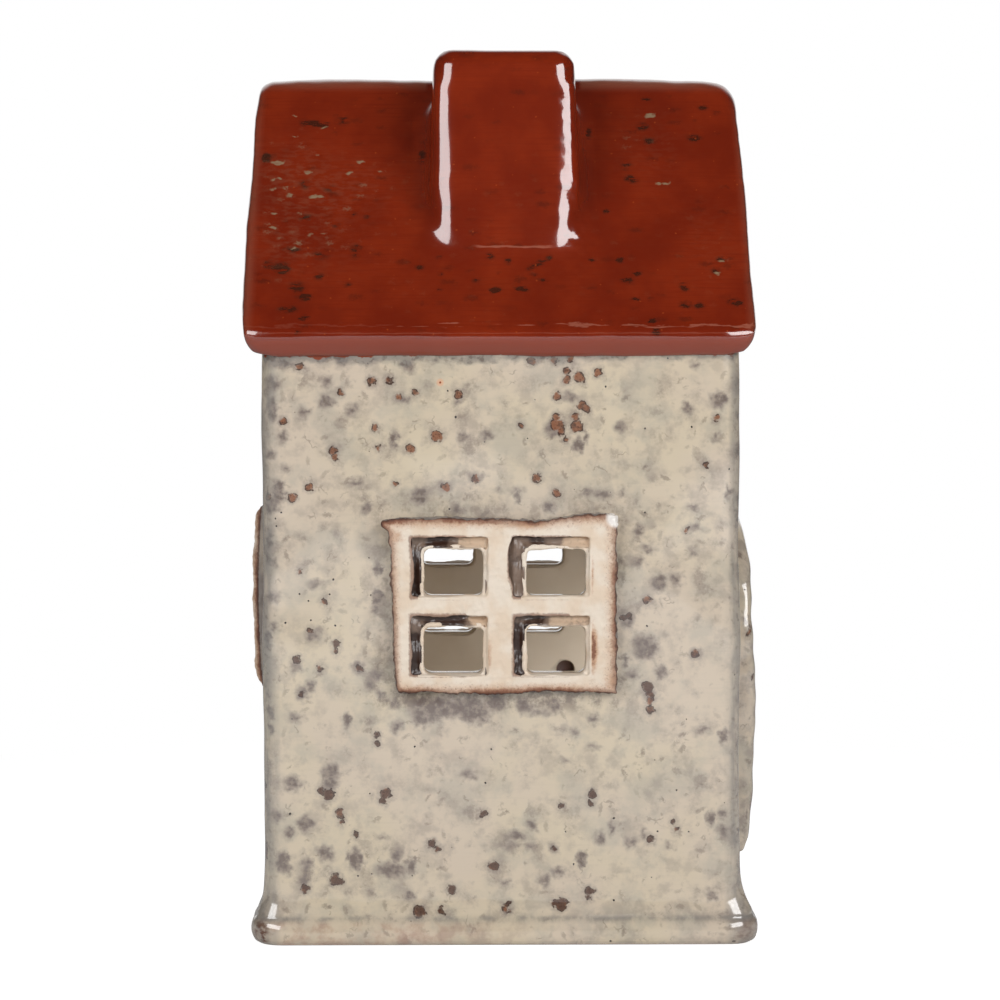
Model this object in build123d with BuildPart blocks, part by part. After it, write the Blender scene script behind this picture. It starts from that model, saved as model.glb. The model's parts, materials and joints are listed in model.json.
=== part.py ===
from build123d import *
import os
from math import cos, radians, sin, tan

os.makedirs("parts", exist_ok=True)

# A glazed ceramic house that holds one tealight, in millimetres, +Z up.
# The origin is the centre of the underside. The ridge runs along X, the long walls face -Y and +Y,
# the arched doorway is in the +X gable and a window is in each of the other three walls.
# The house is built from rolled slabs and pressed pieces of clay that are luted together and fired.

# Walls
house_length = 101.4
house_depth = 84.0
wall_thickness = 4.5
corner_radius = 4.0

# Base: a tray whose edge spreads into a foot
base_height = 13.0
floor_thickness = 8.0
foot_flare = 3.4
tray_corner_radius = 2.5
foot_height_shares = [0.0, 0.1, 0.27, 0.48, 0.72, 1.0]
foot_flare_shares = [0.6, 0.88, 1.0, 0.72, 0.27, 0.0]

# Roof: two slabs that meet in a mitre along the ridge
roof_pitch = 53.2
roof_thickness = 5.0
eave_height = 131.0
eave_overhang = 3.0
gable_overhang = 3.3
ridge_radius = 5.0
eave_radius = 2.4
gable_edge_radius = 2.0

# Chimney: a hollow block on the front slope
chimney_length = 30.2
chimney_depth = 21.6
chimney_over_ridge = 3.4
chimney_draft = 2.0
chimney_offset_x = 1.0
chimney_setback = 25.0
chimney_corner_radius = 4.2
chimney_rim_radius = 3.8
chimney_wall = 5.2
flue_corner_radius = 1.6

# Windows: four panes cut through the wall, with a raised surround of four larger openings
window_height = 73.1
pane_width = 12.6
pane_height = 10.1
pane_corner_radius = 1.7
pane_pitch_x = 21.8
pane_pitch_z = 16.5
pane_shift = 0.95
pane_drop = 1.25
surround_width = 48.6
surround_height = 38.0
surround_relief = 3.2
surround_corner_radius = 1.8
surround_edge_radius = 1.1
light_margin_x = 3.4
light_margin_z = 2.5

# Doorway: an arched opening with a raised band, above a sill that keeps the tealight in
doorway_width = 43.6
doorway_spring_height = 64.6
sill_height = 17.0
doorway_band = 5.6
doorway_relief = 5.2
doorway_edge_radius = 2.0

# Dimple pressed into the inner face of the back wall
dimple_diameter = 4.2
dimple_depth = 1.6
dimple_x = 16.8
dimple_height = 49.4

# Tealight
cup_diameter = 38.0
cup_height = 16.0
cup_wall = 0.4
cup_rim_width = 0.5
cup_rim_height = 0.8
wax_height = 12.6
wax_gap = 0.1
wick_diameter = 1.6
wick_length = 19.0
wick_gap = 0.05
sustainer_diameter = 12.5
sustainer_thickness = 0.4
sustainer_neck_diameter = 3.4
sustainer_neck_height = 3.0

# Every cut runs past the far face by this much
overrun = 2.0

# Worked out from the sizes above
half_length = house_length / 2
half_depth = house_depth / 2
inner_half_length = half_length - wall_thickness
inner_half_depth = half_depth - wall_thickness
roof_half_length = half_length + gable_overhang
roof_half_depth = half_depth + eave_overhang
roof_rise = roof_half_depth * tan(radians(roof_pitch))
roof_apex_height = eave_height + roof_rise
roof_drop = roof_thickness / cos(radians(roof_pitch))
ridge_height = roof_apex_height - ridge_radius * (1 / cos(radians(roof_pitch)) - 1)
chimney_top_height = ridge_height + chimney_over_ridge
chimney_y = chimney_setback - roof_half_depth
doorway_radius = doorway_width / 2
doorway_outer_radius = doorway_radius + doorway_band


def outer_slope_height(distance):
    # height of the roof's upper face at this distance from the ridge
    return roof_apex_height - distance * tan(radians(roof_pitch))


def under_slope_height(distance):
    # height of the roof's underside at this distance from the ridge
    return outer_slope_height(distance) - roof_drop


def slope_plane(side, height):
    # plane parallel to one slope, whose normal points up and out; height is its height at the ridge
    normal = (0, side * sin(radians(roof_pitch)), cos(radians(roof_pitch)))
    return Plane(origin=(0, 0, height), x_dir=(1, 0, 0), z_dir=normal)


# Planes on the outer faces of the walls: local x runs to the right as each wall is faced, local y up
front_face = Plane(origin=(0, -half_depth, 0), x_dir=(1, 0, 0), z_dir=(0, -1, 0))
back_face = Plane(origin=(0, half_depth, 0), x_dir=(-1, 0, 0), z_dir=(0, 1, 0))
window_gable_face = Plane(origin=(-half_length, 0, 0), x_dir=(0, -1, 0), z_dir=(-1, 0, 0))
doorway_gable_face = Plane(origin=(half_length, 0, 0), x_dir=(0, 1, 0), z_dir=(1, 0, 0))


def cut_panes(face):
    # four panes through the wall that this face belongs to
    with BuildSketch(face) as panes:
        with Locations((pane_shift, window_height - pane_drop)):
            with GridLocations(pane_pitch_x, pane_pitch_z, 2, 2):
                RectangleRounded(pane_width, pane_height, pane_corner_radius)
    extrude(panes.sketch, amount=-(wall_thickness + overrun), mode=Mode.SUBTRACT)


def long_wall(side, face):
    # slab with rounded outer corners, its top bevelled to lie under the roof
    with BuildPart() as wall:
        with BuildSketch(Plane.XY.offset(base_height)):
            with Locations((0, side * (half_depth - wall_thickness / 2))):
                Rectangle(house_length, wall_thickness)
        extrude(amount=eave_height + overrun - base_height)
        uprights = wall.edges().filter_by(Axis.Z).group_by(Axis.Y)
        fillet(uprights[0] if side < 0 else uprights[-1], radius=corner_radius)
        split(bisect_by=slope_plane(side, roof_apex_height - roof_drop), keep=Keep.BOTTOM)
        cut_panes(face)
    return wall


def gable_outline():
    # pentagon that stands on the base, between the long walls and under both slopes
    with BuildLine() as pentagon:
        Polyline(
            (-inner_half_depth, base_height),
            (inner_half_depth, base_height),
            (inner_half_depth, under_slope_height(inner_half_depth)),
            (0, under_slope_height(0)),
            (-inner_half_depth, under_slope_height(inner_half_depth)),
            close=True,
        )
    make_face(pentagon.edges())


def arch_outline(radius, foot):
    # straight jambs from the foot's height up to a half-round head
    with BuildLine() as arch:
        Line((-radius, foot), (radius, foot))
        Line((radius, foot), (radius, doorway_spring_height))
        CenterArc((0, doorway_spring_height), radius, 0, 180)
        Line((-radius, doorway_spring_height), (-radius, foot))
    make_face(arch.edges())


def roof_slab(keep):
    # both slopes as one bent slab with rounded ridge, eaves and gable edges, then cut at the ridge
    with BuildPart() as slab:
        with BuildSketch(Plane.YZ) as section:
            with BuildLine():
                Polyline(
                    (-roof_half_depth, eave_height),
                    (0, roof_apex_height),
                    (roof_half_depth, eave_height),
                    (half_depth, under_slope_height(half_depth)),
                    (0, under_slope_height(0)),
                    (-half_depth, under_slope_height(half_depth)),
                    close=True,
                )
            make_face()
            fillet(section.vertices().sort_by(Axis.Y)[-1], radius=ridge_radius)
            corners = section.vertices().group_by(Axis.X)
            fillet(corners[0] + corners[-1], radius=eave_radius)
        extrude(amount=roof_half_length, both=True)
        ridge_arcs = slab.faces().filter_by(Axis.X).edges().group_by(Axis.Z)[-1]
        fillet(ridge_arcs, radius=gable_edge_radius)  # runs on down both slopes to the eaves
        split(bisect_by=Plane.XZ, keep=keep)
    return slab


def flue_outline():
    with Locations((chimney_offset_x, chimney_y)):
        flue_length = chimney_length - 2 * chimney_wall
        flue_depth = chimney_depth - 2 * chimney_wall
        RectangleRounded(flue_length, flue_depth, flue_corner_radius)


def window_surround(face):
    # pressed frame with four lights, each larger than its pane by the light margins
    with BuildPart() as surround:
        with BuildSketch(face):
            with Locations((0, window_height)):
                RectangleRounded(surround_width, surround_height, surround_corner_radius)
                with GridLocations(pane_pitch_x, pane_pitch_z, 2, 2):
                    light_width = pane_width + light_margin_x
                    light_height = pane_height + light_margin_z
                    RectangleRounded(light_width, light_height, pane_corner_radius, mode=Mode.SUBTRACT)
        extrude(amount=surround_relief)
        front = surround.faces().sort_by(Axis(face.origin, face.z_dir))[-1]
        fillet(front.edges(), radius=surround_edge_radius)
    return surround


# Base: the flare is a loft through rounded rectangles, with the floor let into its top
with BuildPart() as base:
    for height_share, flare_share in zip(foot_height_shares, foot_flare_shares):
        flare = foot_flare * flare_share
        with BuildSketch(Plane.XY.offset(base_height * height_share)):
            RectangleRounded(house_length + 2 * flare, house_depth + 2 * flare, corner_radius + flare)
    loft()
    with BuildSketch(Plane.XY.offset(floor_thickness)):
        RectangleRounded(2 * inner_half_length, 2 * inner_half_depth, tray_corner_radius)
    extrude(amount=base_height - floor_thickness + overrun, mode=Mode.SUBTRACT)

# Long walls
wall_front = long_wall(-1, front_face)
wall_back = long_wall(1, back_face)

# The back wall's inner face has a small dimple
inner_back_face = Plane(origin=(dimple_x, inner_half_depth, dimple_height), x_dir=(1, 0, 0), z_dir=(0, -1, 0))
with BuildPart() as wall_back_dimpled:
    add(wall_back.part)
    with BuildSketch(inner_back_face):
        Circle(dimple_diameter / 2)
    extrude(amount=-dimple_depth, mode=Mode.SUBTRACT)

# Gable walls
with BuildPart() as gable_window_wall:
    with BuildSketch(window_gable_face):
        gable_outline()
    extrude(amount=-wall_thickness)
    cut_panes(window_gable_face)

with BuildPart() as gable_doorway_wall:
    with BuildSketch(doorway_gable_face):
        gable_outline()
    extrude(amount=-wall_thickness)
    with BuildSketch(doorway_gable_face):
        arch_outline(doorway_radius, sill_height)
    extrude(amount=-(wall_thickness + overrun), mode=Mode.SUBTRACT)

# Roof
roof_front = roof_slab(Keep.TOP)
roof_back = roof_slab(Keep.BOTTOM)

# The front slope is open under the chimney
with BuildPart() as roof_front_open:
    add(roof_front.part)
    with BuildSketch(Plane.XY.offset(eave_height)):
        flue_outline()
    extrude(amount=roof_rise, mode=Mode.SUBTRACT)

# Chimney
chimney_foot = outer_slope_height(-chimney_y + chimney_depth)
chimney_rise = chimney_top_height - chimney_foot
chimney_spread = 2 * chimney_rise * tan(radians(chimney_draft))
with BuildPart() as chimney:
    with BuildSketch(Plane.XY.offset(chimney_foot)):
        with Locations((chimney_offset_x, chimney_y)):
            foot_length = chimney_length + chimney_spread
            foot_depth = chimney_depth + chimney_spread
            RectangleRounded(foot_length, foot_depth, chimney_corner_radius + chimney_spread / 2)
    extrude(amount=chimney_rise, taper=chimney_draft)
    fillet(chimney.faces().sort_by(Axis.Z)[-1].edges(), radius=chimney_rim_radius)
    split(bisect_by=slope_plane(-1, roof_apex_height), keep=Keep.TOP)
    with BuildSketch(Plane.XY.offset(chimney_foot)):
        flue_outline()
    extrude(amount=chimney_rise + overrun, mode=Mode.SUBTRACT)

# Window surrounds
window_surround_front = window_surround(front_face)
window_surround_back = window_surround(back_face)
window_surround_gable = window_surround(window_gable_face)

# Doorway surround: an arched band whose jambs end at the sill
with BuildPart() as doorway_surround:
    with BuildSketch(doorway_gable_face):
        arch_outline(doorway_outer_radius, sill_height)
    extrude(amount=doorway_relief)
    with BuildSketch(doorway_gable_face):
        arch_outline(doorway_radius, sill_height - overrun)
    extrude(amount=doorway_relief, mode=Mode.SUBTRACT)
    fillet(doorway_surround.faces().sort_by(Axis.X)[-1].edges(), radius=doorway_edge_radius)

# Tealight cup: a thin aluminium cup with a rolled rim
with BuildPart() as tealight_cup:
    with BuildSketch(Plane.XY.offset(floor_thickness)):
        Circle(cup_diameter / 2)
    extrude(amount=cup_height)
    with BuildSketch(Plane.XY.offset(floor_thickness + cup_height - cup_rim_height)):
        Circle(cup_diameter / 2 + cup_rim_width)
    extrude(amount=cup_rim_height)
    with BuildSketch(Plane.XY.offset(floor_thickness + cup_wall)):
        Circle(cup_diameter / 2 - cup_wall)
    extrude(amount=cup_height, mode=Mode.SUBTRACT)

# Wick sustainer: a tin disc with a neck that grips the wick
cup_floor_height = floor_thickness + cup_wall
with BuildPart() as wick_sustainer:
    with BuildSketch(Plane.XY.offset(cup_floor_height)):
        Circle(sustainer_diameter / 2)
    extrude(amount=sustainer_thickness)
    with BuildSketch(Plane.XY.offset(cup_floor_height)):
        Circle(sustainer_neck_diameter / 2)
    extrude(amount=sustainer_thickness + sustainer_neck_height)
    with BuildSketch(Plane.XY.offset(cup_floor_height + sustainer_thickness)):
        Circle(wick_diameter / 2 + wick_gap)
    extrude(amount=sustainer_neck_height + overrun, mode=Mode.SUBTRACT)

# Wick
with BuildPart() as tealight_wick:
    with BuildSketch(Plane.XY.offset(cup_floor_height + sustainer_thickness)):
        Circle(wick_diameter / 2)
    extrude(amount=wick_length)

# Wax: cast in the cup around the sustainer and the wick
with BuildPart() as tealight_wax:
    with BuildSketch(Plane.XY.offset(cup_floor_height)):
        Circle(cup_diameter / 2 - cup_wall - wax_gap)
    extrude(amount=wax_height)
    with BuildSketch(Plane.XY.offset(cup_floor_height)):
        Circle(sustainer_diameter / 2 + wick_gap)
    extrude(amount=sustainer_thickness + wick_gap, mode=Mode.SUBTRACT)
    with BuildSketch(Plane.XY.offset(cup_floor_height)):
        Circle(sustainer_neck_diameter / 2 + wick_gap)
    extrude(amount=sustainer_thickness + sustainer_neck_height + wick_gap, mode=Mode.SUBTRACT)
    with BuildSketch(Plane.XY.offset(cup_floor_height)):
        Circle(wick_diameter / 2 + wick_gap)
    extrude(amount=wax_height + overrun, mode=Mode.SUBTRACT)

pieces = {
    "base": base,
    "wall_front": wall_front,
    "wall_back": wall_back_dimpled,
    "gable_window_wall": gable_window_wall,
    "gable_doorway_wall": gable_doorway_wall,
    "roof_slab_front": roof_front_open,
    "roof_slab_back": roof_back,
    "chimney": chimney,
    "window_surround_front": window_surround_front,
    "window_surround_back": window_surround_back,
    "window_surround_gable": window_surround_gable,
    "doorway_surround": doorway_surround,
    "tealight_cup": tealight_cup,
    "wick_sustainer": wick_sustainer,
    "tealight_wick": tealight_wick,
    "tealight_wax": tealight_wax,
}
for name, piece in pieces.items():
    piece.part.label = name
    export_step(piece.part, f"parts/{name}.step")
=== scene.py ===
# A glazed ceramic house for one tealight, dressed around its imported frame.
# Pieces are built in millimetres and brought to metres when they are handed to the frame.
import json
import math

import bmesh
import bpy
import numpy as np
from mathutils import Matrix, Vector


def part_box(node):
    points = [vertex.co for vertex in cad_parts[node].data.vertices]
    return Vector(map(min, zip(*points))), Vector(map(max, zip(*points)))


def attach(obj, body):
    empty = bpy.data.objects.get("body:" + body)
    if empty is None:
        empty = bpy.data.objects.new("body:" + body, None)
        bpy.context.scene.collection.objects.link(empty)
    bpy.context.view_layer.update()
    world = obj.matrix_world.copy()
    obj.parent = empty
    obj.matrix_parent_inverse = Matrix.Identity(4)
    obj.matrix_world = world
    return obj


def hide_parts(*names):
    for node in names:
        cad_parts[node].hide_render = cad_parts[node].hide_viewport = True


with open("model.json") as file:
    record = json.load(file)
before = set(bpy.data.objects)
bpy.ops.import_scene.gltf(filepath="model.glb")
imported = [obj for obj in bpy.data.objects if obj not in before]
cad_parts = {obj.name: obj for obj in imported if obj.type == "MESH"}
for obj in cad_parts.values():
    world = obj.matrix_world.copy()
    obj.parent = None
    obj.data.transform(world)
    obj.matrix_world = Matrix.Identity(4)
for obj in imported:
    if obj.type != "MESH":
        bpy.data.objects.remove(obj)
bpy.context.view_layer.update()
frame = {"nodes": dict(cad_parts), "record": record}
mm = 0.001
scene = bpy.context.scene
scene.view_settings.view_transform = "Standard"


# Places read from the frame, in millimetres

def boxInMm(node):
    low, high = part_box(node)
    return np.array(low) / mm, np.array(high) / mm


halfLength, halfDepth, wallTop = boxInMm("wall_back")[1]
innerDepth, apex = boxInMm("gable_window_wall")[1][1:]  # the gable ends under the ridge
pitchRise = (apex - wallTop) / innerDepth  # rise of the roof for each millimetre across
pitch = math.atan(pitchRise)
roofHalf, _, ridgeTop = boxInMm("roof_slab_back")[1]
eaveLow = boxInMm("roof_slab_back")[0][2]
chimneyLow, chimneyHigh = boxInMm("chimney")
windowLow, windowHigh = boxInMm("window_surround_front")
doorHigh = boxInMm("doorway_surround")[1]
print("frame read: walls", halfLength * 2, "x", halfDepth * 2, "roof pitch", math.degrees(pitch))


def paneCentres(wall):
    # where this wall's four panes are, across and up, facing the wall from outside
    centres = []
    for opening in frame["record"]["physics"]["openings"]:
        if opening["name"].startswith("pane_" + wall):
            middle = np.mean(opening["box_m"], axis=0) / mm
            across = {"front": middle[0], "back": -middle[0], "gable": -middle[1]}[wall]
            centres.append((across, middle[2]))
    return sorted(centres)


# Tools for making meshes

def waves(points, length, seed, count=18):
    # a smooth seeded field of about 1 either way, whose swells are about this long
    dice = np.random.default_rng(seed)
    heading = dice.normal(size=(count, 3))
    heading /= np.linalg.norm(heading, axis=1)[:, None]
    pace = 2 * math.pi / (length * dice.uniform(0.7, 1.5, count))
    start = dice.uniform(0, 2 * math.pi, count)
    return np.sin(points @ (heading * pace[:, None]).T + start).sum(1) / math.sqrt(count / 2)


def handWork(points, layers, seed):
    # how far a hand-made face strays: layers are swell length and reach
    return sum(reach * waves(points, length, seed + 7 * k) for k, (length, reach) in enumerate(layers))


def newPiece(name, points=(), faces=()):
    mesh = bpy.data.meshes.new(name)
    mesh.from_pydata([tuple(p) for p in points], [], faces)
    piece = bpy.data.objects.new(name, mesh)
    scene.collection.objects.link(piece)
    return piece


def skin(rings):
    # closed mesh through rings of equally many points, with both ends capped
    count, last = len(rings[0]), len(rings) - 1
    faces = [tuple(reversed(range(count))), tuple(last * count + i for i in range(count))]
    for level in range(last):
        for i in range(count):
            a, b = level * count + i, level * count + (i + 1) % count
            faces.append((a, b, b + count, a + count))
    return np.concatenate(rings), faces


def atHeight(flat, height):
    # flat points become points in space, all at one height
    return np.column_stack((flat, np.full(len(flat), height)))


def roundedRing(halfX, halfY, radius, spacing):
    # points of a rounded rectangle, evenly spaced, and the way each one faces
    x, y = halfX - radius, halfY - radius
    turns = max(4, round(radius * math.pi / 2 / spacing))
    points, facing = [], []
    for k, (cx, cy) in enumerate(((x, y), (-x, y), (-x, -y), (x, -y))):
        for i in range(turns + 1):
            angle = (k + i / turns) * math.pi / 2
            facing.append((math.cos(angle), math.sin(angle)))
            points.append((cx + radius * facing[-1][0], cy + radius * facing[-1][1]))
        run = 2 * (x if k % 2 == 0 else y)
        steps = max(1, round(run / spacing))
        corner, ahead = np.array(points[-1]), np.array((-facing[-1][1], facing[-1][0]))
        for i in range(1, steps):
            points.append(tuple(corner + ahead * run * i / steps))
            facing.append(facing[-1])
    return np.array(points), np.array(facing)


def roundedOutline(corners, radii, spacing):
    # straight runs joined by tangent arcs, divided at about this spacing
    outline, count = [], len(corners)
    for i in range(count):
        before, corner, after = (np.array(corners[(i + k) % count], float) for k in (-1, 0, 1))
        back, ahead = before - corner, after - corner
        back, ahead = back / np.linalg.norm(back), ahead / np.linalg.norm(ahead)
        half = math.acos(np.clip(back @ ahead, -1, 1)) / 2
        if radii[i] == 0:
            outline.append(corner)
            continue
        middle = back + ahead
        centre = corner + middle / np.linalg.norm(middle) * radii[i] / math.sin(half)
        first = corner + back * radii[i] / math.tan(half) - centre
        final = corner + ahead * radii[i] / math.tan(half) - centre
        angle = math.atan2(first[1], first[0])
        turn = (math.atan2(final[1], final[0]) - angle + math.pi) % (2 * math.pi) - math.pi
        steps = max(5, round(abs(turn) * radii[i] / spacing))
        for k in range(steps + 1):
            a = angle + turn * k / steps
            outline.append(centre + radii[i] * np.array((math.cos(a), math.sin(a))))
    dense = []
    for k, point in enumerate(outline):
        step = outline[(k + 1) % len(outline)] - point
        parts = max(1, round(np.linalg.norm(step) / spacing))
        dense += [point + step * i / parts for i in range(parts)]
    return np.array(dense)


def readPoints(piece):
    points = np.empty(len(piece.data.vertices) * 3, np.float32)
    piece.data.vertices.foreach_get("co", points)
    return points.reshape(-1, 3).astype(float)


def readNormals(piece):
    normals = np.empty(len(piece.data.vertices) * 3, np.float32)
    piece.data.vertex_normals.foreach_get("vector", normals)
    return normals.reshape(-1, 3).astype(float)


def writePoints(piece, points):
    piece.data.vertices.foreach_set("co", np.asarray(points, np.float32).ravel())
    piece.data.update()


def writeValues(piece, **values):
    for name, own in values.items():
        attribute = piece.data.attributes.new(name, "FLOAT", "POINT")
        attribute.data.foreach_set("value", np.asarray(own, np.float32))


def writeMap(piece, flat, lap=None):
    # the piece's flat map in millimetres, from a place for each point; lap is the whole way round
    # where the map runs round the piece and meets itself
    corners = np.empty(len(piece.data.loops), np.int32)
    piece.data.loops.foreach_get("vertex_index", corners)
    places = np.asarray(flat)[corners]
    if lap:
        starts = np.empty(len(piece.data.polygons), np.int32)
        piece.data.polygons.foreach_get("loop_start", starts)
        owner = np.repeat(np.arange(len(starts)), np.diff(np.append(starts, len(corners))))
        ahead = np.maximum.reduceat(places[:, 0], starts)[owner]
        places[ahead - places[:, 0] > lap / 2, 0] += lap
    layerOfMap = piece.data.uv_layers.new(name="flat")
    layerOfMap.data.foreach_set("uv", np.asarray(places, np.float32).ravel())


def settle(piece):
    # the evaluated shape becomes the piece's plain mesh, and its modifiers go
    evaluated = piece.evaluated_get(bpy.context.evaluated_depsgraph_get())
    mesh = bpy.data.meshes.new_from_object(evaluated)
    piece.modifiers.clear()
    piece.data = mesh


def combine(piece, cutter, how="DIFFERENCE"):
    modifier = piece.modifiers.new("combine", "BOOLEAN")
    modifier.object, modifier.operation, modifier.solver = cutter, how, "EXACT"
    settle(piece)
    bpy.data.objects.remove(cutter)


def fuse(piece, voxel, rounds):
    # overlapping lumps of clay become one skin with softened edges
    remesh = piece.modifiers.new("fuse", "REMESH")
    remesh.mode, remesh.voxel_size = "VOXEL", voxel
    if rounds:
        soften = piece.modifiers.new("soften", "SMOOTH")
        soften.factor, soften.iterations = 0.5, rounds
    settle(piece)


def soften(piece, weight, rounds):
    # relaxes the mesh where weight is 1 and leaves it where weight is 0
    points = readPoints(piece)
    ends = np.empty(len(piece.data.edges) * 2, np.int32)
    piece.data.edges.foreach_get("vertices", ends)
    a, b = ends.reshape(-1, 2).T
    count = len(points)
    near = np.bincount(a, minlength=count) + np.bincount(b, minlength=count)
    for _ in range(rounds):
        for axis in range(3):
            column = points[:, axis]
            total = np.bincount(a, column[b], count) + np.bincount(b, column[a], count)
            points[:, axis] += 0.5 * weight * (total / near - column)
    writePoints(piece, points)


def sliceOff(piece, place, facing):
    # cuts away what lies beyond a plane and closes the cut
    shape = bmesh.new()
    shape.from_mesh(piece.data)
    everything = shape.verts[:] + shape.edges[:] + shape.faces[:]
    bmesh.ops.bisect_plane(shape, geom=everything, plane_co=place, plane_no=facing, clear_outer=True)
    bmesh.ops.holes_fill(shape, edges=[e for e in shape.edges if e.is_boundary], sides=0)
    shape.to_mesh(piece.data)
    shape.free()


def turnOutwards(piece):
    shape = bmesh.new()
    shape.from_mesh(piece.data)
    bmesh.ops.recalc_face_normals(shape, faces=shape.faces)
    shape.to_mesh(piece.data)
    shape.free()


def newSolid(name, points, faces):
    # a closed piece whose faces all look outwards
    piece = newPiece(name, points, faces)
    turnOutwards(piece)
    return piece


def gather(parts):
    # one mesh from several: their points in a row, and all their faces
    faces, start = [], 0
    for points, own in parts:
        faces += [tuple(start + i for i in face) for face in own]
        start += len(points)
    return np.concatenate([points for points, _ in parts]), faces


def dress(piece, *materials):
    piece.data.materials.clear()
    for material in materials:
        piece.data.materials.append(material)


def step(value, low, high):
    t = np.clip((value - low) / (high - low), 0, 1)
    return t * t * (3 - 2 * t)


def boxGap(across, up, halfAcross, halfUp):
    # distance outside a rectangle about the origin, negative within it
    dx, dy = np.abs(across) - halfAcross, np.abs(up) - halfUp
    return np.hypot(np.maximum(dx, 0), np.maximum(dy, 0)) + np.minimum(np.maximum(dx, dy), 0)


def softSpots(across, up, spots):
    # soft spots added up: each has its side, height, reach across and up, and strength
    return sum(s * np.exp(-((across - a) / ra) ** 2 - ((up - b) / rb) ** 2) for a, b, ra, rb, s in spots)


def handOver(piece, body, nodes, angle=50):
    # brings a finished piece to metres and gives it its body and the nodes that it stands for
    piece.data.transform(Matrix.Scale(mm, 4))
    piece.data.shade_smooth()
    piece.data.set_sharp_from_angle(angle=math.radians(angle))
    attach(piece, body)
    if nodes:
        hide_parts(*nodes)
    triangles = sum(len(p.vertices) - 2 for p in piece.data.polygons)
    print("made", piece.name, "with", triangles, "triangles")


# Tools for node trees

def hexToLinear(text):
    parts = [int(text[i:i + 2], 16) / 255 for i in (1, 3, 5)]
    return (*(c / 12.92 if c <= 0.04045 else ((c + 0.055) / 1.055) ** 2.4 for c in parts), 1.0)


def addNode(tree, kind, settings=None, inputs=None):
    # a list of sockets goes to one input that takes several links
    node = tree.nodes.new(kind)
    for name, value in (settings or {}).items():
        setattr(node, name, value)
    for name, value in (inputs or {}).items():
        for item in value if isinstance(value, list) else [value]:
            if isinstance(item, bpy.types.NodeSocket):
                tree.links.new(item, node.inputs[name])
            else:
                node.inputs[name].default_value = item
    return node


def startMaterial(name):
    # a material with its output, and the place on the piece in millimetres
    material = bpy.data.materials.new(name)
    material.use_nodes = True
    tree = material.node_tree
    tree.nodes.clear()
    where = addNode(tree, "ShaderNodeTexCoord")
    scaled = {0: where.outputs["Object"], "Scale": 1 / mm}
    place = addNode(tree, "ShaderNodeVectorMath", {"operation": "SCALE"}, scaled)
    return material, tree, place.outputs[0]


def calc(tree, how, a, b=0.0):
    return addNode(tree, "ShaderNodeMath", {"operation": how}, {0: a, 1: b}).outputs[0]


def times(tree, *values):
    total = values[0]
    for value in values[1:]:
        total = calc(tree, "MULTIPLY", total, value)
    return total


def swing(tree, value, reach):
    # noise from 0 to 1 becomes a push of up to half this much either way
    return calc(tree, "MULTIPLY", calc(tree, "SUBTRACT", value, 0.5), reach)


def layer(tree, under, over, *masks):
    # one colour laid over another where all masks let it; a colour is a socket or a hex value
    below, above = (hexToLinear(c) if isinstance(c, str) else c for c in (under, over))
    sockets = {0: times(tree, *masks), 6: below, 7: above}
    return addNode(tree, "ShaderNodeMix", {"data_type": "RGBA"}, sockets).outputs[2]


def ramp(tree, value, low, high, start=0.0, end=1.0):
    settings = {"interpolation_type": "SMOOTHSTEP"}
    sockets = {0: value, 1: low, 2: high, 3: start, 4: end}
    return addNode(tree, "ShaderNodeMapRange", settings, sockets).outputs[0]


def grains(tree, place, size, detail=3.0, stretch=(1, 1, 1), seed=0.0, roughness=0.55):
    # noise with grains about this many millimetres across: a value from 0 to 1, and a colour
    moved = addNode(tree, "ShaderNodeMapping", {}, {
        "Vector": place, "Location": (seed * 31.7, seed * 13.9, seed * 23.1),
        "Scale": tuple(1 / (size * s) for s in stretch),
    })
    sockets = {"Vector": moved.outputs[0], "Scale": 1.0, "Detail": detail, "Roughness": roughness}
    return addNode(tree, "ShaderNodeTexNoise", {}, sockets).outputs


def grain(*given, **named):
    return grains(*given, **named)[0]


def crumble(tree, place, size, detail, seed, roughness, ragged):
    # the place, pushed about by up to half of ragged in millimetres, and the noise that pushes it
    rough = grains(tree, place, size, detail, (1, 1, 1), seed, roughness)
    centred = addNode(tree, "ShaderNodeVectorMath", {"operation": "SUBTRACT"},
                      {0: rough["Color"], 1: (0.5, 0.5, 0.5)})
    sockets = {0: centred.outputs[0], 1: (ragged, ragged, 0), 2: place}
    pushed = addNode(tree, "ShaderNodeVectorMath", {"operation": "MULTIPLY_ADD"}, sockets)
    return pushed.outputs[0], rough[0]


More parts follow.
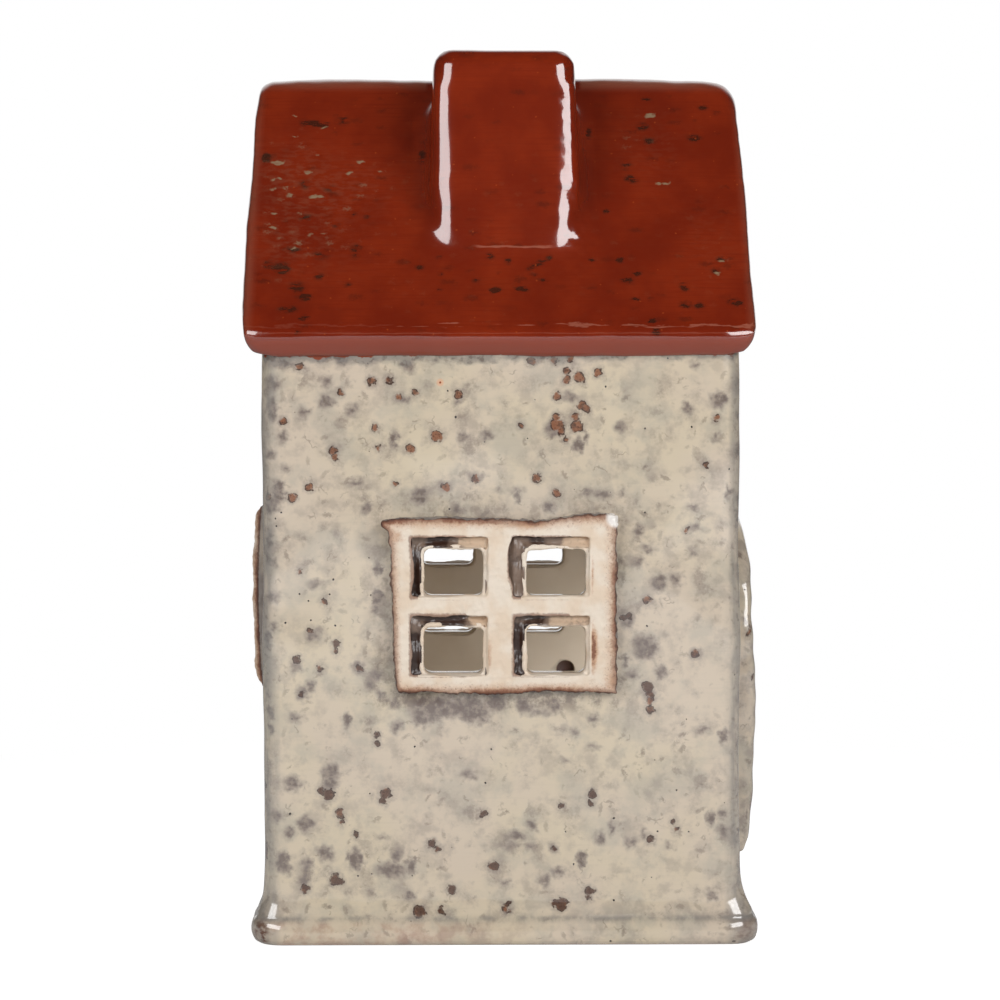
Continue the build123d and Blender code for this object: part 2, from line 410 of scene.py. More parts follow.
def marks(tree, place, apart, share, size, long, ragged, seed, turned=True, crumbly=0.0, square=0.0):
    # one mark to a cell on a flat map, in a share of the cells: gives how far outside its mark a place is,
    # in millimetres, and a random number for each mark; long is how many times longer than wide a mark is
    pushed, rough = crumble(tree, place, size * 1.6, 4.0, seed, 0.65, ragged)
    mapped = addNode(tree, "ShaderNodeMapping", {}, {
        "Vector": pushed, "Location": (seed * 7.3, seed * 3.7, 0), "Scale": (1 / apart,) * 3,
    }).outputs[0]
    sockets = {"Vector": mapped, "Scale": 1.0}
    cells = addNode(tree, "ShaderNodeTexVoronoi", {"voronoi_dimensions": "2D"}, sockets).outputs
    dice = addNode(tree, "ShaderNodeSeparateColor", {}, {0: cells["Color"]}).outputs
    sockets = {0: mapped, 1: cells["Position"]}
    local = addNode(tree, "ShaderNodeVectorMath", {"operation": "SUBTRACT"}, sockets).outputs[0]
    if turned:
        sockets = {"Vector": local, "Angle": times(tree, dice[2], math.pi)}
        local = addNode(tree, "ShaderNodeVectorRotate", {"rotation_type": "Z_AXIS"}, sockets).outputs[0]
    sockets = {0: local, 1: (apart / long, apart, 0)}
    squeezed = addNode(tree, "ShaderNodeVectorMath", {"operation": "MULTIPLY"}, sockets).outputs[0]
    away = addNode(tree, "ShaderNodeVectorMath", {"operation": "LENGTH"}, {0: squeezed}).outputs["Value"]
    if square:
        sides = addNode(tree, "ShaderNodeVectorMath", {"operation": "ABSOLUTE"}, {0: squeezed})
        parts = addNode(tree, "ShaderNodeSeparateXYZ", {}, {0: sides.outputs[0]}).outputs
        sockets = {0: square, 2: away, 3: calc(tree, "MAXIMUM", parts[0], parts[1])}
        away = addNode(tree, "ShaderNodeMix", {"data_type": "FLOAT"}, sockets).outputs[0]
    if crumbly:
        away = calc(tree, "ADD", away, swing(tree, rough, crumbly))
    reach = ramp(tree, dice[1], 0.0, 1.0, 0.5 * size, 1.4 * size)
    missing = times(tree, calc(tree, "GREATER_THAN", dice[0], share), 99)
    gap = calc(tree, "ADD", calc(tree, "SUBTRACT", away, reach), missing)
    return gap, calc(tree, "DIVIDE", dice[0], share)


def placedMarks(tree, place, spots, ragged, crumbly, seed, long=1.0):
    # how far outside the nearest of these marks a place is, in millimetres: spots gives for each radius the
    # side and height of its marks, and long is how many times longer across than up they are
    moved, rough = crumble(tree, place, 1.5, 2.0, seed, 0.5, ragged)
    sockets = {0: moved, 1: (1 / long, 1, 1)}
    moved = addNode(tree, "ShaderNodeVectorMath", {"operation": "MULTIPLY"}, sockets).outputs[0]
    nearest = 99.0
    for radius, places in spots.items():
        closest = 99.0
        for side, height in places:
            sockets = {0: moved, 1: (side / long, height, 0)}
            away = addNode(tree, "ShaderNodeVectorMath", {"operation": "DISTANCE"}, sockets).outputs["Value"]
            closest = calc(tree, "MINIMUM", away, closest)
        nearest = calc(tree, "MINIMUM", calc(tree, "SUBTRACT", closest, radius), nearest)
    return calc(tree, "ADD", nearest, swing(tree, rough, crumbly))


def attribute(tree, name):
    return addNode(tree, "ShaderNodeAttribute", {"attribute_name": name}).outputs["Fac"]


def streak(tree, value, centre, wobble, width):
    # a thin line where value crosses centre, pushed about by wobble
    off = calc(tree, "ABSOLUTE", calc(tree, "ADD", calc(tree, "SUBTRACT", value, centre), wobble))
    return ramp(tree, off, width, width * 0.3)


def flatMap(tree):
    # the place on the piece's own flat map, in millimetres
    return addNode(tree, "ShaderNodeUVMap", {"uv_map": "flat"}).outputs[0]


def addBump(tree, height, reach, below=None):
    # reach is in millimetres
    sockets = {"Height": height, "Distance": reach * mm, "Strength": 1.0}
    if below is not None:
        sockets["Normal"] = below
    return addNode(tree, "ShaderNodeBump", {}, sockets).outputs[0]


def finishMaterial(material, tree, sockets):
    shader = addNode(tree, "ShaderNodeBsdfPrincipled", {}, sockets)
    addNode(tree, "ShaderNodeOutputMaterial", {}, {"Surface": shader.outputs[0]})
    return material


# Camera, lamps and surroundings

view = {
    "place": (-6.85, -585.0, 127.5),  # in millimetres, from the centre of the house's underside
    "turn": 0.0125,  # to the right, in radians
    "tilt": 0.059,  # downwards
    "lens": 92.45,
}

studio = {
    "lampDistance": 1100.0,
    "lampTurn": 35.0,  # degrees to each side of the camera
    "lampHeight": 20.0,  # degrees above the table
    "lampSize": (640.0, 520.0),
    "lampPower": (5.35, 6.35),  # left and right
    "aim": (0.0, 0.0, 90.0),
    "ceiling": 0.02,  # dark room in front and above
    "backdrop": 0.95,  # pale paper behind
    "floorTone": 0.8,
    "floorLift": 0.85,  # added for the camera alone, so that the open floor is white
    "floorFade": (0.12, 0.26),  # metres from the house where the floor turns to plain white
    "floorSide": 6.0,  # metres from the middle to each edge
    "doorLamp": (43.0, -4.0, 36.0),  # the place of a small lamp inside the doorway
    "doorLampFrom": (0.9, -0.41, -0.09),  # it shines away from here
    "doorLampSize": (24.0, 24.0),
    "doorLampPower": 0.0105,
}


def makeCamera(view):
    data = bpy.data.cameras.new("camera")
    data.lens, data.sensor_width = view["lens"], 36.0
    data.clip_start, data.clip_end = 0.01, 50
    camera = bpy.data.objects.new("camera", data)
    scene.collection.objects.link(camera)
    turn, tilt = view["turn"], view["tilt"]
    ahead = Vector((math.sin(turn) * math.cos(tilt), math.cos(turn) * math.cos(tilt), -math.sin(tilt)))
    camera.location = Vector(view["place"]) * mm
    camera.rotation_euler = ahead.to_track_quat("-Z", "Y").to_euler()
    scene.camera = camera


def makeLamp(name, place, away, size, power):
    data = bpy.data.lights.new(name, "AREA")
    data.shape, data.energy = "RECTANGLE", power
    data.size, data.size_y = (s * mm for s in size)
    lamp = bpy.data.objects.new(name, data)
    lamp.location = Vector(place) * mm
    lamp.rotation_euler = Vector(away).to_track_quat("Z", "Y").to_euler()
    lamp.visible_camera = False
    scene.collection.objects.link(lamp)


def makeLamps(studio):
    height = math.radians(studio["lampHeight"])
    for side, power in zip((-1, 1), studio["lampPower"]):
        turn = math.radians(studio["lampTurn"]) * side
        away = Vector((math.sin(turn) * math.cos(height), -math.cos(turn) * math.cos(height),
                       math.sin(height)))
        place = Vector(studio["aim"]) + away * studio["lampDistance"]
        makeLamp("softbox", place, away, studio["lampSize"], power)
    makeLamp("door_lamp", studio["doorLamp"], studio["doorLampFrom"], studio["doorLampSize"],
             studio["doorLampPower"])


def makeRoom(studio):
    # dim in front and above, pale behind, and plain white to the camera
    world = bpy.data.worlds.new("room")
    scene.world = world
    world.use_nodes = True
    tree = world.node_tree
    tree.nodes.clear()
    rays = addNode(tree, "ShaderNodeLightPath").outputs
    way = addNode(tree, "ShaderNodeTexCoord").outputs["Generated"]
    parts = addNode(tree, "ShaderNodeSeparateXYZ", {}, {0: way}).outputs
    behind = ramp(tree, parts["Y"], 0.0, 0.5)
    aside = ramp(tree, calc(tree, "ABSOLUTE", parts["X"]), 0.7, 0.35)
    low = ramp(tree, parts["Z"], 0.97, 0.6)
    paper = times(tree, behind, aside, low)
    glow = ramp(tree, paper, 0.0, 1.0, studio["ceiling"], studio["backdrop"])
    seen = calc(tree, "MAXIMUM", rays["Is Camera Ray"], rays["Is Transmission Ray"])
    strength = addNode(tree, "ShaderNodeMix", {"data_type": "FLOAT"}, {0: seen, 2: glow, 3: 1.0}).outputs[0]
    shade = addNode(tree, "ShaderNodeBackground", {}, {"Color": (1, 1, 1, 1), "Strength": strength})
    addNode(tree, "ShaderNodeOutputWorld", {}, {"Surface": shade.outputs[0]})


def makeFloor(studio):
    side = studio["floorSide"]
    corners = [(side * x, side * y, 0) for x, y in ((-1, -1), (1, -1), (1, 1), (-1, 1))]
    floor = newPiece("floor", corners, [(0, 1, 2, 3)])
    material, tree, place = startMaterial("white table paper, matt")
    rays = addNode(tree, "ShaderNodeLightPath").outputs
    seen = calc(tree, "MAXIMUM", rays["Is Camera Ray"], rays["Is Transmission Ray"])
    far = addNode(tree, "ShaderNodeVectorMath", {"operation": "LENGTH"}, {0: place}).outputs["Value"]
    fade = ramp(tree, far, studio["floorFade"][0] / mm, studio["floorFade"][1] / mm)
    lift = times(tree, seen, studio["floorLift"])
    tone = (studio["floorTone"],) * 3 + (1,)
    paper = addNode(tree, "ShaderNodeBsdfDiffuse", {}, {"Color": tone})
    glow = addNode(tree, "ShaderNodeEmission", {}, {"Color": (1, 1, 1, 1), "Strength": lift})
    near = addNode(tree, "ShaderNodeAddShader", {}, {0: paper.outputs[0], 1: glow.outputs[0]})
    plain = addNode(tree, "ShaderNodeEmission", {}, {"Color": (1, 1, 1, 1), "Strength": 1.0})
    beyond = times(tree, fade, seen)
    mix = addNode(tree, "ShaderNodeMixShader", {}, {0: beyond, 1: near.outputs[0], 2: plain.outputs[0]})
    addNode(tree, "ShaderNodeOutputMaterial", {}, {"Surface": mix.outputs[0]})
    dress(floor, material)


makeCamera(view)
makeLamps(studio)
makeRoom(studio)
makeFloor(studio)
print("camera, lamps and room are set")


# Materials

# marks that the photograph shows on the front wall, by side and height in millimetres
frontMarks = {
    # grains, by their radius
    "grains": {
        0.55: ((-33.8, 118.2), (-18, 118.1), (-21.6, 117.2), (45.7, 112.7), (-46, 112.1), (4.4, 111.2),
               (14, 108.4), (-25.6, 106.6), (43.5, 102.8), (-22.2, 99), (39.6, 88.9), (-42.3, 80.3),
               (-37.4, 73.8), (27.2, 70.6), (-40.4, 67.8), (-34.9, 63.4), (-42.4, 54.2), (-26.4, 45.3),
               (-26.4, 43.6), (19.3, 30.7), (12.9, 29.9), (37, 26.5), (-33.9, 26.5), (37.5, 24.8),
               (-30.8, 24), (-13.5, 20.9), (11.5, 20.8), (18.8, 10.4), (1.4, 8.7)),
        0.8: ((14.8, 125.4), (11.3, 125.1), (6.5, 124.9), (-42.3, 123.6), (14, 122.6), (20.6, 122.3),
              (14.1, 120.9), (-23.4, 120.7), (-27.3, 120.5), (-8.9, 117.7), (12, 117.3), (17.1, 115.5),
              (18.1, 114.7), (12, 113), (16, 113), (-26.4, 110.6), (12.8, 110), (-19.3, 106.3),
              (-35.3, 105.8), (-34.9, 104.5), (7.7, 100), (-5.3, 99.9), (-40.4, 98.2), (-11.7, 98.1),
              (12, 97), (-49.4, 96), (-44.1, 96), (31.2, 74.1), (26.3, 70.4), (-34.8, 64.8), (41.5, 62.5),
              (-43.3, 61.5), (-38.3, 59.6), (-29.9, 59.5), (31.7, 54.2), (31.9, 52.5), (31.9, 50.7),
              (-38.1, 33.4), (19.6, 32.4), (-25.1, 31.3), (-34.3, 28.5), (-3.5, 28.4), (32.2, 22.8),
              (-14.7, 21.9), (-41.8, 12.2), (-10.5, 12.2), (18.9, 11.7), (13.4, 9.2), (11.6, 9.1),
              (1.4, 7.8), (-12.7, 7.6)),
        1.2: ((16.8, 121.4), (11.8, 111.4), (16.1, 111), (-13.4, 109.1), (31.5, 55.5), (-24.3, 32.7),
              (-36.6, 32.5), (-1.3, 17), (-35, 14.2), (12.9, 8.9), (-17.3, 7.4)),
    },
    # clouds, by how many times longer across than up they are, then by their radius
    "clouds": {
        0.6: {
            1.3: ((18.1, 108.7), (48.3, 96.8), (3.6, 96.2), (-48, 68.3), (26.8, 60.9), (-49.2, 46.7),
                  (23.8, 25.3), (-32.3, 19.1)),
            1.9: ((-22.5, 108.4), (16.5, 107.1), (-49.3, 86.8), (-26, 80.8), (-26.1, 74.8), (-49.6, 65.6),
                  (-49.3, 50.3), (-32.6, 48.6), (47.6, 44.8), (45, 27.3), (17.3, 18.6), (-19, 17)),
            2.7: ((-48.3, 115), (-46.9, 97.5), (-30.7, 18.7), (-46.3, 18.1)),
        },
        1.0: {
            0.9: ((41.4, 123.9), (-8.9, 116.2), (-46, 112.1), (45.6, 108.7), (-45.3, 102.1), (25.8, 96.8),
                  (40.7, 84.5), (-26.6, 72.1), (-38.5, 67.8), (41.5, 62.8), (-25.6, 54), (-49.7, 53.6),
                  (-22.4, 52), (15.8, 45.5), (30.5, 24.1), (36.2, 21.4), (11.5, 21.2), (0.9, 13.4)),
            1.3: ((-33.5, 124.6), (-19.3, 123.6), (-36.6, 120.5), (39.6, 114.7), (-31.4, 114.4),
                  (-41.6, 114), (25.4, 111), (-3, 109.1), (-46.1, 108.8), (-7.9, 108.7), (-48.9, 105.1),
                  (10.5, 93.8), (-28.4, 93.8), (-9.3, 93.8), (-49.2, 93.3), (29.5, 88.9), (29.3, 82.5),
                  (-49, 82.5), (37.3, 78.6), (-48.5, 74.9), (27.1, 69.3), (-39.9, 66.7), (-30.4, 60.1),
                  (-43.4, 59.9), (34.2, 58.7), (28.2, 58.1), (-26.1, 58), (-27.7, 56.3), (-40.2, 55.8),
                  (-41.8, 54.7), (32, 53.8), (-42.2, 53.7), (11.7, 51.4), (20.1, 48.7), (-4.3, 48.6),
                  (-22.1, 46.9), (47.5, 28.3), (-48, 27.9), (6.6, 25.9), (47.5, 24.8), (-45.1, 24.2),
                  (21.3, 23), (27.8, 22), (-22.2, 19.4), (-41.3, 17.8), (12.5, 15.9), (-41.7, 14.1),
                  (9.3, 14.1), (45.3, 11), (-19.5, 10.8)),
            1.9: ((-48.5, 120), (46.2, 116.6), (-36.8, 116.3), (11.2, 110.4), (-17.2, 96.2), (-48.3, 94.5),
                  (33.8, 77.8), (-1, 52.3), (5.1, 51.6), (-17, 48.9), (-36.3, 37.4), (-44.1, 34.9),
                  (-36.3, 34.9), (-41.6, 26.2), (-37.3, 19.8)),
            2.7: ((30.9, 64.1),),
        },
        2.0: {
            0.6: ((-26.4, 125.1), (-0.1, 97.5), (3.3, 97.5), (7.2, 49.9), (9.4, 49.9), (19.6, 42.7),
                  (14.1, 39.7), (-25.2, 23.4), (1.8, 21.3), (3.9, 21.3), (6, 21.3)),
            0.9: ((14.8, 117.3), (-20.5, 116.7), (-5.6, 100.6), (-30.7, 99), (-11.9, 98.8), (18.5, 97),
                  (21.1, 96.6), (41, 93.8), (41.6, 89.3), (31.1, 85), (-39, 77.6), (-43.4, 49.3),
                  (42.9, 46.1), (-7, 36.8)),
            1.3: ((-46.1, 124.4), (3.3, 23.4)),
            1.9: ((-23, 16.4),),
            2.7: ((-14.4, 50.8), (-6.8, 50.8)),
        },
    },
    "pinholes": ((-47.7, 91.5), (-47.5, 89.9), (-46.4, 92.8), (-42.6, 75.5), (-40.7, 74), (-40.2, 69.9),
                 (-36.2, 75.4), (37.6, 33.4), (33.6, 24.5), (-30.4, 15), (35.4, 125.4)),
    "ember": (-12.7, 120.3),
}

# tan flecks on the roof's front: radius, then side and way up the slope
roofFlecks = {
    0.3: ((-45.1, 223.6), (-44.9, 217.5), (-38.8, 220.2), (-49.2, 205.2), (-47.9, 205.4), (-49.2, 202.3),
          (-39.6, 212.3), (-25.9, 207.5), (-44.1, 185.8), (-48.8, 195.6), (-40.7, 189.6), (-37.9, 189.9),
          (47.3, 182.4), (46.3, 179.2)),
    0.45: ((-45.4, 200.7), (-41.8, 207.1), (-40.4, 200.3), (-38.9, 200.2), (-32.6, 206.9), (-30.3, 210.2),
           (-48.8, 191.7), (35, 204), (36.4, 204.1)),
    0.75: ((-48.7, 210.1), (33.9, 223.7)),
}


def eaveWave(tree, place):
    # the joint of red and cream under the eaves wanders by this much, in millimetres
    scallops = grain(tree, place, 3.2, 3.0, (1, 1, 0.6), 6.0)
    return swing(tree, scallops, 3.2)


def creamGlaze():
    # tin-white stoneware glaze, brushed over a speckled body and fired glossy: iron specks bleed through it
    # as terracotta grains in soft grey clouds, and it thins to blue-grey on the edges
    material, tree, place = startMaterial("speckled cream glaze, fired glossy")
    flat = flatMap(tree)
    cream, warm = "#D8C8B4", "#D9CAB1"
    cloud, shade, slate = "#938780", "#64544E", "#807D79"
    rust, brown = "#925F44", "#583A2D"
    bark, soot = "#46312A", "#2B221F"
    drawn = attribute(tree, "drawn")

    drift = grain(tree, place, 26.0, 2.0, seed=1.0)
    colour = layer(tree, cream, warm, ramp(tree, drift, 0.4, 0.65))
    busy = ramp(tree, grain(tree, flat, 22.0, 2.0, seed=13.0), 0.35, 0.6, 0.65, 1.0)
    busy = times(tree, busy, ramp(tree, drawn, 0.0, 1.0, 1.0, 0.6))
    haze = grain(tree, flat, 4.5, 5.0, seed=2.0, roughness=0.6)
    cool = grain(tree, flat, 9.0, 4.0, seed=22.0, roughness=0.6)
    colour = layer(tree, colour, "#ABA79B", ramp(tree, cool, 0.46, 0.66, 0.0, 0.4))
    colour = layer(tree, colour, cloud, ramp(tree, haze, 0.47, 0.68, 0.0, 0.7), busy)

    cells = grain(tree, flat, 0.5, 2.0, seed=12.0, roughness=0.6)
    granular = ramp(tree, cells, 0.35, 0.6, 0.5, 1.0)
    smudge = grain(tree, flat, 1.4, 3.0, seed=20.0, roughness=0.55)
    cloudGap = 99.0
    for long, spots in frontMarks["clouds"].items():
        cloudGap = calc(tree, "MINIMUM", cloudGap, placedMarks(tree, flat, spots, 2.8, 0.8, 23.0, long))
    stirred = ramp(tree, smudge, 0.32, 0.56, 0.7, 1.0)
    colour = layer(tree, colour, cloud, ramp(tree, cloudGap, 0.9, -0.8, 0.0, 0.8), stirred)
    core = times(tree, ramp(tree, cloudGap, 0.0, -1.3, 0.0, 0.7), ramp(tree, smudge, 0.38, 0.6, 0.5, 1.0))
    colour = layer(tree, colour, shade, core)
    for apart, share, size, seed in ((4.4, 0.6, 0.9, 3.0), (7.0, 0.5, 1.5, 21.0)):
        gap, tint = marks(tree, flat, apart, share, size, 1.6, 3.0, seed, crumbly=3.4)
        soft = times(tree, ramp(tree, gap, 0.8, -1.2), ramp(tree, tint, 0.0, 1.0, 0.35, 0.75))
        colour = layer(tree, colour, cloud, soft, granular, busy)
        core = times(tree, ramp(tree, gap, -0.3, -1.3, 0.0, 0.55), tint)
        colour = layer(tree, colour, shade, core, busy)

    loose, _ = marks(tree, flat, 8.4, 0.36, 0.75, 1.4, 2.6, 5.0, crumbly=1.6, square=0.4)
    loose = calc(tree, "ADD", loose, times(tree, drawn, 9.0))
    gap = calc(tree, "MINIMUM", loose, placedMarks(tree, flat, frontMarks["grains"], 1.8, 0.8, 16.0))
    line = grain(tree, flat, 4.6, 3.0, seed=17.0)
    broken = ramp(tree, grain(tree, flat, 3.6, 3.0, seed=18.0), 0.58, 0.68)
    wisp = times(tree, streak(tree, line, 0.5, 0.0, 0.028), broken)
    colour = layer(tree, colour, shade, wisp, 0.35)
    dashes = ((4.2, 0.42, 0.34, 2.4, 0.8, 7.0), (2.6, 0.32, 0.22, 1.6, 0.45, 27.0))
    for apart, share, size, long, strength, seed in dashes:
        dashGap, tint = marks(tree, flat, apart, share, size, long, size * 4, seed, crumbly=size * 2.5)
        dash = times(tree, ramp(tree, dashGap, 0.22, -0.25), ramp(tree, tint, 0.0, 1.0, 0.3, strength))
        colour = layer(tree, colour, shade, dash, busy)

    colour = layer(tree, colour, cloud, ramp(tree, gap, 1.3, 0.0, 0.0, 0.55), granular)
    kind = grain(tree, flat, 7.0, 1.0, seed=19.0)
    up = addNode(tree, "ShaderNodeSeparateXYZ", {}, {0: flat}).outputs[1]
    low = ramp(tree, up, 95.0, 45.0, 0.0, 0.35)
    mottled = calc(tree, "ADD", calc(tree, "ADD", kind, low), swing(tree, smudge, 1.4))
    ink = layer(tree, rust, brown, ramp(tree, mottled, 0.42, 0.78))
    colour = layer(tree, colour, ink, ramp(tree, gap, 0.15, -0.3, 0.0, 0.92))
    outline = times(tree, streak(tree, gap, 0.0, 0.0, 0.24), ramp(tree, smudge, 0.4, 0.54))
    colour = layer(tree, colour, bark, outline, 0.9)
    pits = times(tree, ramp(tree, cells, 0.54, 0.66), ramp(tree, gap, 0.0, -0.4))
    colour = layer(tree, colour, bark, pits, 0.55)
    pins, _ = marks(tree, flat, 8.5, 0.3, 0.17, 1.2, 0.1, 8.0)
    pins = calc(tree, "MINIMUM", pins, placedMarks(tree, flat, {0.2: frontMarks["pinholes"]}, 0.1, 0.0, 26.0))
    pins = ramp(tree, pins, 0.05, -0.06)
    colour = layer(tree, colour, soot, pins)
    spot = placedMarks(tree, flat, {0.25: (frontMarks["ember"],)}, 0.2, 0.0, 28.0)
    colour = layer(tree, colour, "#E8B592", ramp(tree, spot, 0.75, 0.25, 0.0, 0.7))
    colour = layer(tree, colour, "#9C4420", ramp(tree, spot, 0.05, -0.1))

    streaks = grain(tree, place, 2.6, 4.0, (1, 1, 4), 4.0, 0.6)
    corner = times(tree, attribute(tree, "cornerBand"), ramp(tree, streaks, 0.3, 0.6, 0.2, 0.75))
    colour = layer(tree, colour, "#948F89", corner)
    colour = layer(tree, colour, shade, corner, ramp(tree, smudge, 0.52, 0.68, 0.0, 0.45))
    eave = calc(tree, "SUBTRACT", attribute(tree, "eaveGap"), eaveWave(tree, place))
    under = calc(tree, "ADD", eave, swing(tree, haze, 4.0))
    # painted shade: slate grey and a darker grey on the wall just under the roof's overhang, under the eaves
    # in front and behind and under the slopes on the gables
    colour = layer(tree, colour, slate, ramp(tree, under, 2.3, 0.5, 0.0, 0.75))
    colour = layer(tree, colour, shade, ramp(tree, under, 1.6, 0.6),
                   ramp(tree, smudge, 0.48, 0.64, 0.0, 0.6))
    colour = layer(tree, colour, "#8B432D", ramp(tree, eave, 0.12, -0.12))
    # darker round the windows and the doorway, most below the windows
    haloGrain = grain(tree, place, 4.2, 5.0, seed=7.0, roughness=0.7)
    colour = layer(tree, colour, shade, attribute(tree, "halo"), ramp(tree, haloGrain, 0.42, 0.62, 0.08, 0.8))
    blush = times(tree, attribute(tree, "rosy"), ramp(tree, haze, 0.4, 0.6, 0.05, 0.45))
    colour = layer(tree, colour, "#B88E78", blush)
    burnt = times(tree, attribute(tree, "rusty"), ramp(tree, smudge, 0.38, 0.6, 0.2, 0.9))
    colour = layer(tree, colour, "#64402F", burnt)
    # painted shade: a slate line along the crease where walls and base were luted
    colour = layer(tree, colour, slate, attribute(tree, "crease"), ramp(tree, haze, 0.4, 0.6, 0.15, 0.6))

    swell = grain(tree, place, 2.6, 2.0, seed=9.0)
    brush = grain(tree, place, 0.6, 2.0, (16, 16, 1), 10.0)
    colour = layer(tree, colour, cloud, ramp(tree, brush, 0.5, 0.85, 0.0, 0.08))
    normal = addBump(tree, swell, 0.012)
    normal = addBump(tree, brush, 0.003, normal)
    normal = addBump(tree, calc(tree, "SUBTRACT", 1.0, pins), 0.06, normal)
    return finishMaterial(material, tree, {
        "Base Color": colour, "Roughness": 0.18, "IOR": 1.55, "Coat Weight": 1.0,
        "Coat Roughness": 0.05, "Coat IOR": 1.6, "Normal": normal, "Coat Normal": normal,
    })


def redGlaze():
    # iron-red glaze over a dark slip, rubbed before firing: dark scuffs and tan flecks show through
    material, tree, place = startMaterial("rubbed iron-red glaze, fired glossy")
    flat = flatMap(tree)
    red, deep = "#892A0E", "#78210A"
    black, tan, ember = "#30190E", "#957C60", "#A4441C"
    lip, thinned = attribute(tree, "lip"), attribute(tree, "thinned")
    drift = grain(tree, place, 14.0, 4.0, seed=1.0)
    colour = layer(tree, red, deep, ramp(tree, drift, 0.35, 0.65))
    brush = grain(tree, flat, 0.5, 3.0, (26, 1, 1), 11.0)
    colour = layer(tree, colour, deep, ramp(tree, brush, 0.45, 0.7, 0.0, 0.5))
    # painted reflection: lighter and pinker along the ridge's curve, and half as much along the gable edges
    colour = layer(tree, colour, "#A0604A", thinned, ramp(tree, drift, 0.3, 0.6, 0.5, 0.8))
    streaky = grain(tree, flat, 1.3, 4.0, (1.8, 0.8, 1), 12.0, 0.6)
    worn = times(tree, attribute(tree, "scuffed"), ramp(tree, streaky, 0.32, 0.62, 0.4, 1.5))
    colour = layer(tree, colour, black, ramp(tree, worn, 0.15, 0.95, 0.0, 0.8))
    rubbed = times(tree, attribute(tree, "rubbed"), ramp(tree, streaky, 0.42, 0.62))
    colour = layer(tree, colour, tan, rubbed, 0.1)
    gap, tint = marks(tree, flat, 5.0, 0.5, 0.45, 2.4, 2.6, 2.0, False, crumbly=1.3)
    scuff = times(tree, ramp(tree, gap, 0.4, -0.4), ramp(tree, tint, 0.0, 1.0, 0.1, 0.4))
    colour = layer(tree, colour, black, scuff)
    gap, tint = marks(tree, flat, 3.4, 0.5, 0.35, 1.8, 2.6, 4.0, False, crumbly=1.2)
    fleck = times(tree, ramp(tree, gap, 0.2, -0.3), ramp(tree, tint, 0.0, 1.0, 0.1, 0.6))
    colour = layer(tree, colour, tan, fleck, attribute(tree, "rubbed"))
    bare = ramp(tree, placedMarks(tree, flat, roofFlecks, 1.6, 1.0, 16.0, 2.0), 0.15, -0.25)
    colour = layer(tree, colour, tan, bare, ramp(tree, streaky, 0.3, 0.55, 0.5, 1.0))
    gap, tint = marks(tree, flat, 4.4, 0.3, 0.12, 1.3, 0.1, 8.0)
    colour = layer(tree, colour, ember, ramp(tree, gap, 0.08, -0.05, 0.0, 0.7))

    # thin pale lines: a broken painted highlight along the eaves' rounded edge above the lip, and a pale line
    # at the chimney's foot in front
    across, up, _ = addNode(tree, "ShaderNodeSeparateXYZ", {}, {0: flat}).outputs
    run = grain(tree, flat, 5.0, 4.0, (1, 0.3, 1), 14.0)
    wobble = swing(tree, run, 3.4)
    gate = ramp(tree, grain(tree, flat, 8.0, 1.0, (1, 0.1, 1), 15.0), 0.47, 0.54)
    gate = times(tree, gate, ramp(tree, across, -28.0, -8.0, 0.25, 1.0))
    eaveHighlight = times(tree, streak(tree, up, 165.2, wobble, 0.38), gate)
    atFoot = ramp(tree, calc(tree, "ABSOLUTE", calc(tree, "SUBTRACT", across, 3.0)), 9.0, 7.0)
    footLine = times(tree, streak(tree, up, 186.4, times(tree, wobble, 0.5), 0.45), atFoot)
    eaveHairHighlight = times(tree, streak(tree, up, 163.2, times(tree, wobble, 0.25), 0.2), 0.4)
    pale = calc(tree, "MAXIMUM", calc(tree, "MAXIMUM", eaveHighlight, eaveHairHighlight), footLine)
    colour = layer(tree, colour, "#B5705A", pale, 0.5)
    colour = layer(tree, colour, "#8F3008", lip, 0.9)
    creep = calc(tree, "ADD", attribute(tree, "overWall"), eaveWave(tree, place))
    colour = layer(tree, colour, "#A99C8D", ramp(tree, creep, 0.12, -0.12))
    swell = grain(tree, place, 3.0, 2.0, seed=9.0)
    normal = addBump(tree, swell, 0.012)
    normal = addBump(tree, brush, 0.004, normal)
    roughness = ramp(tree, lip, 0.2, 0.9, 0.15, 0.55)
    return finishMaterial(material, tree, {
        "Base Color": colour, "Roughness": roughness, "IOR": 1.55, "Coat Weight": 1.0,
        "Coat Roughness": 0.04, "Coat IOR": 1.65, "Normal": normal, "Coat Normal": normal,
    })


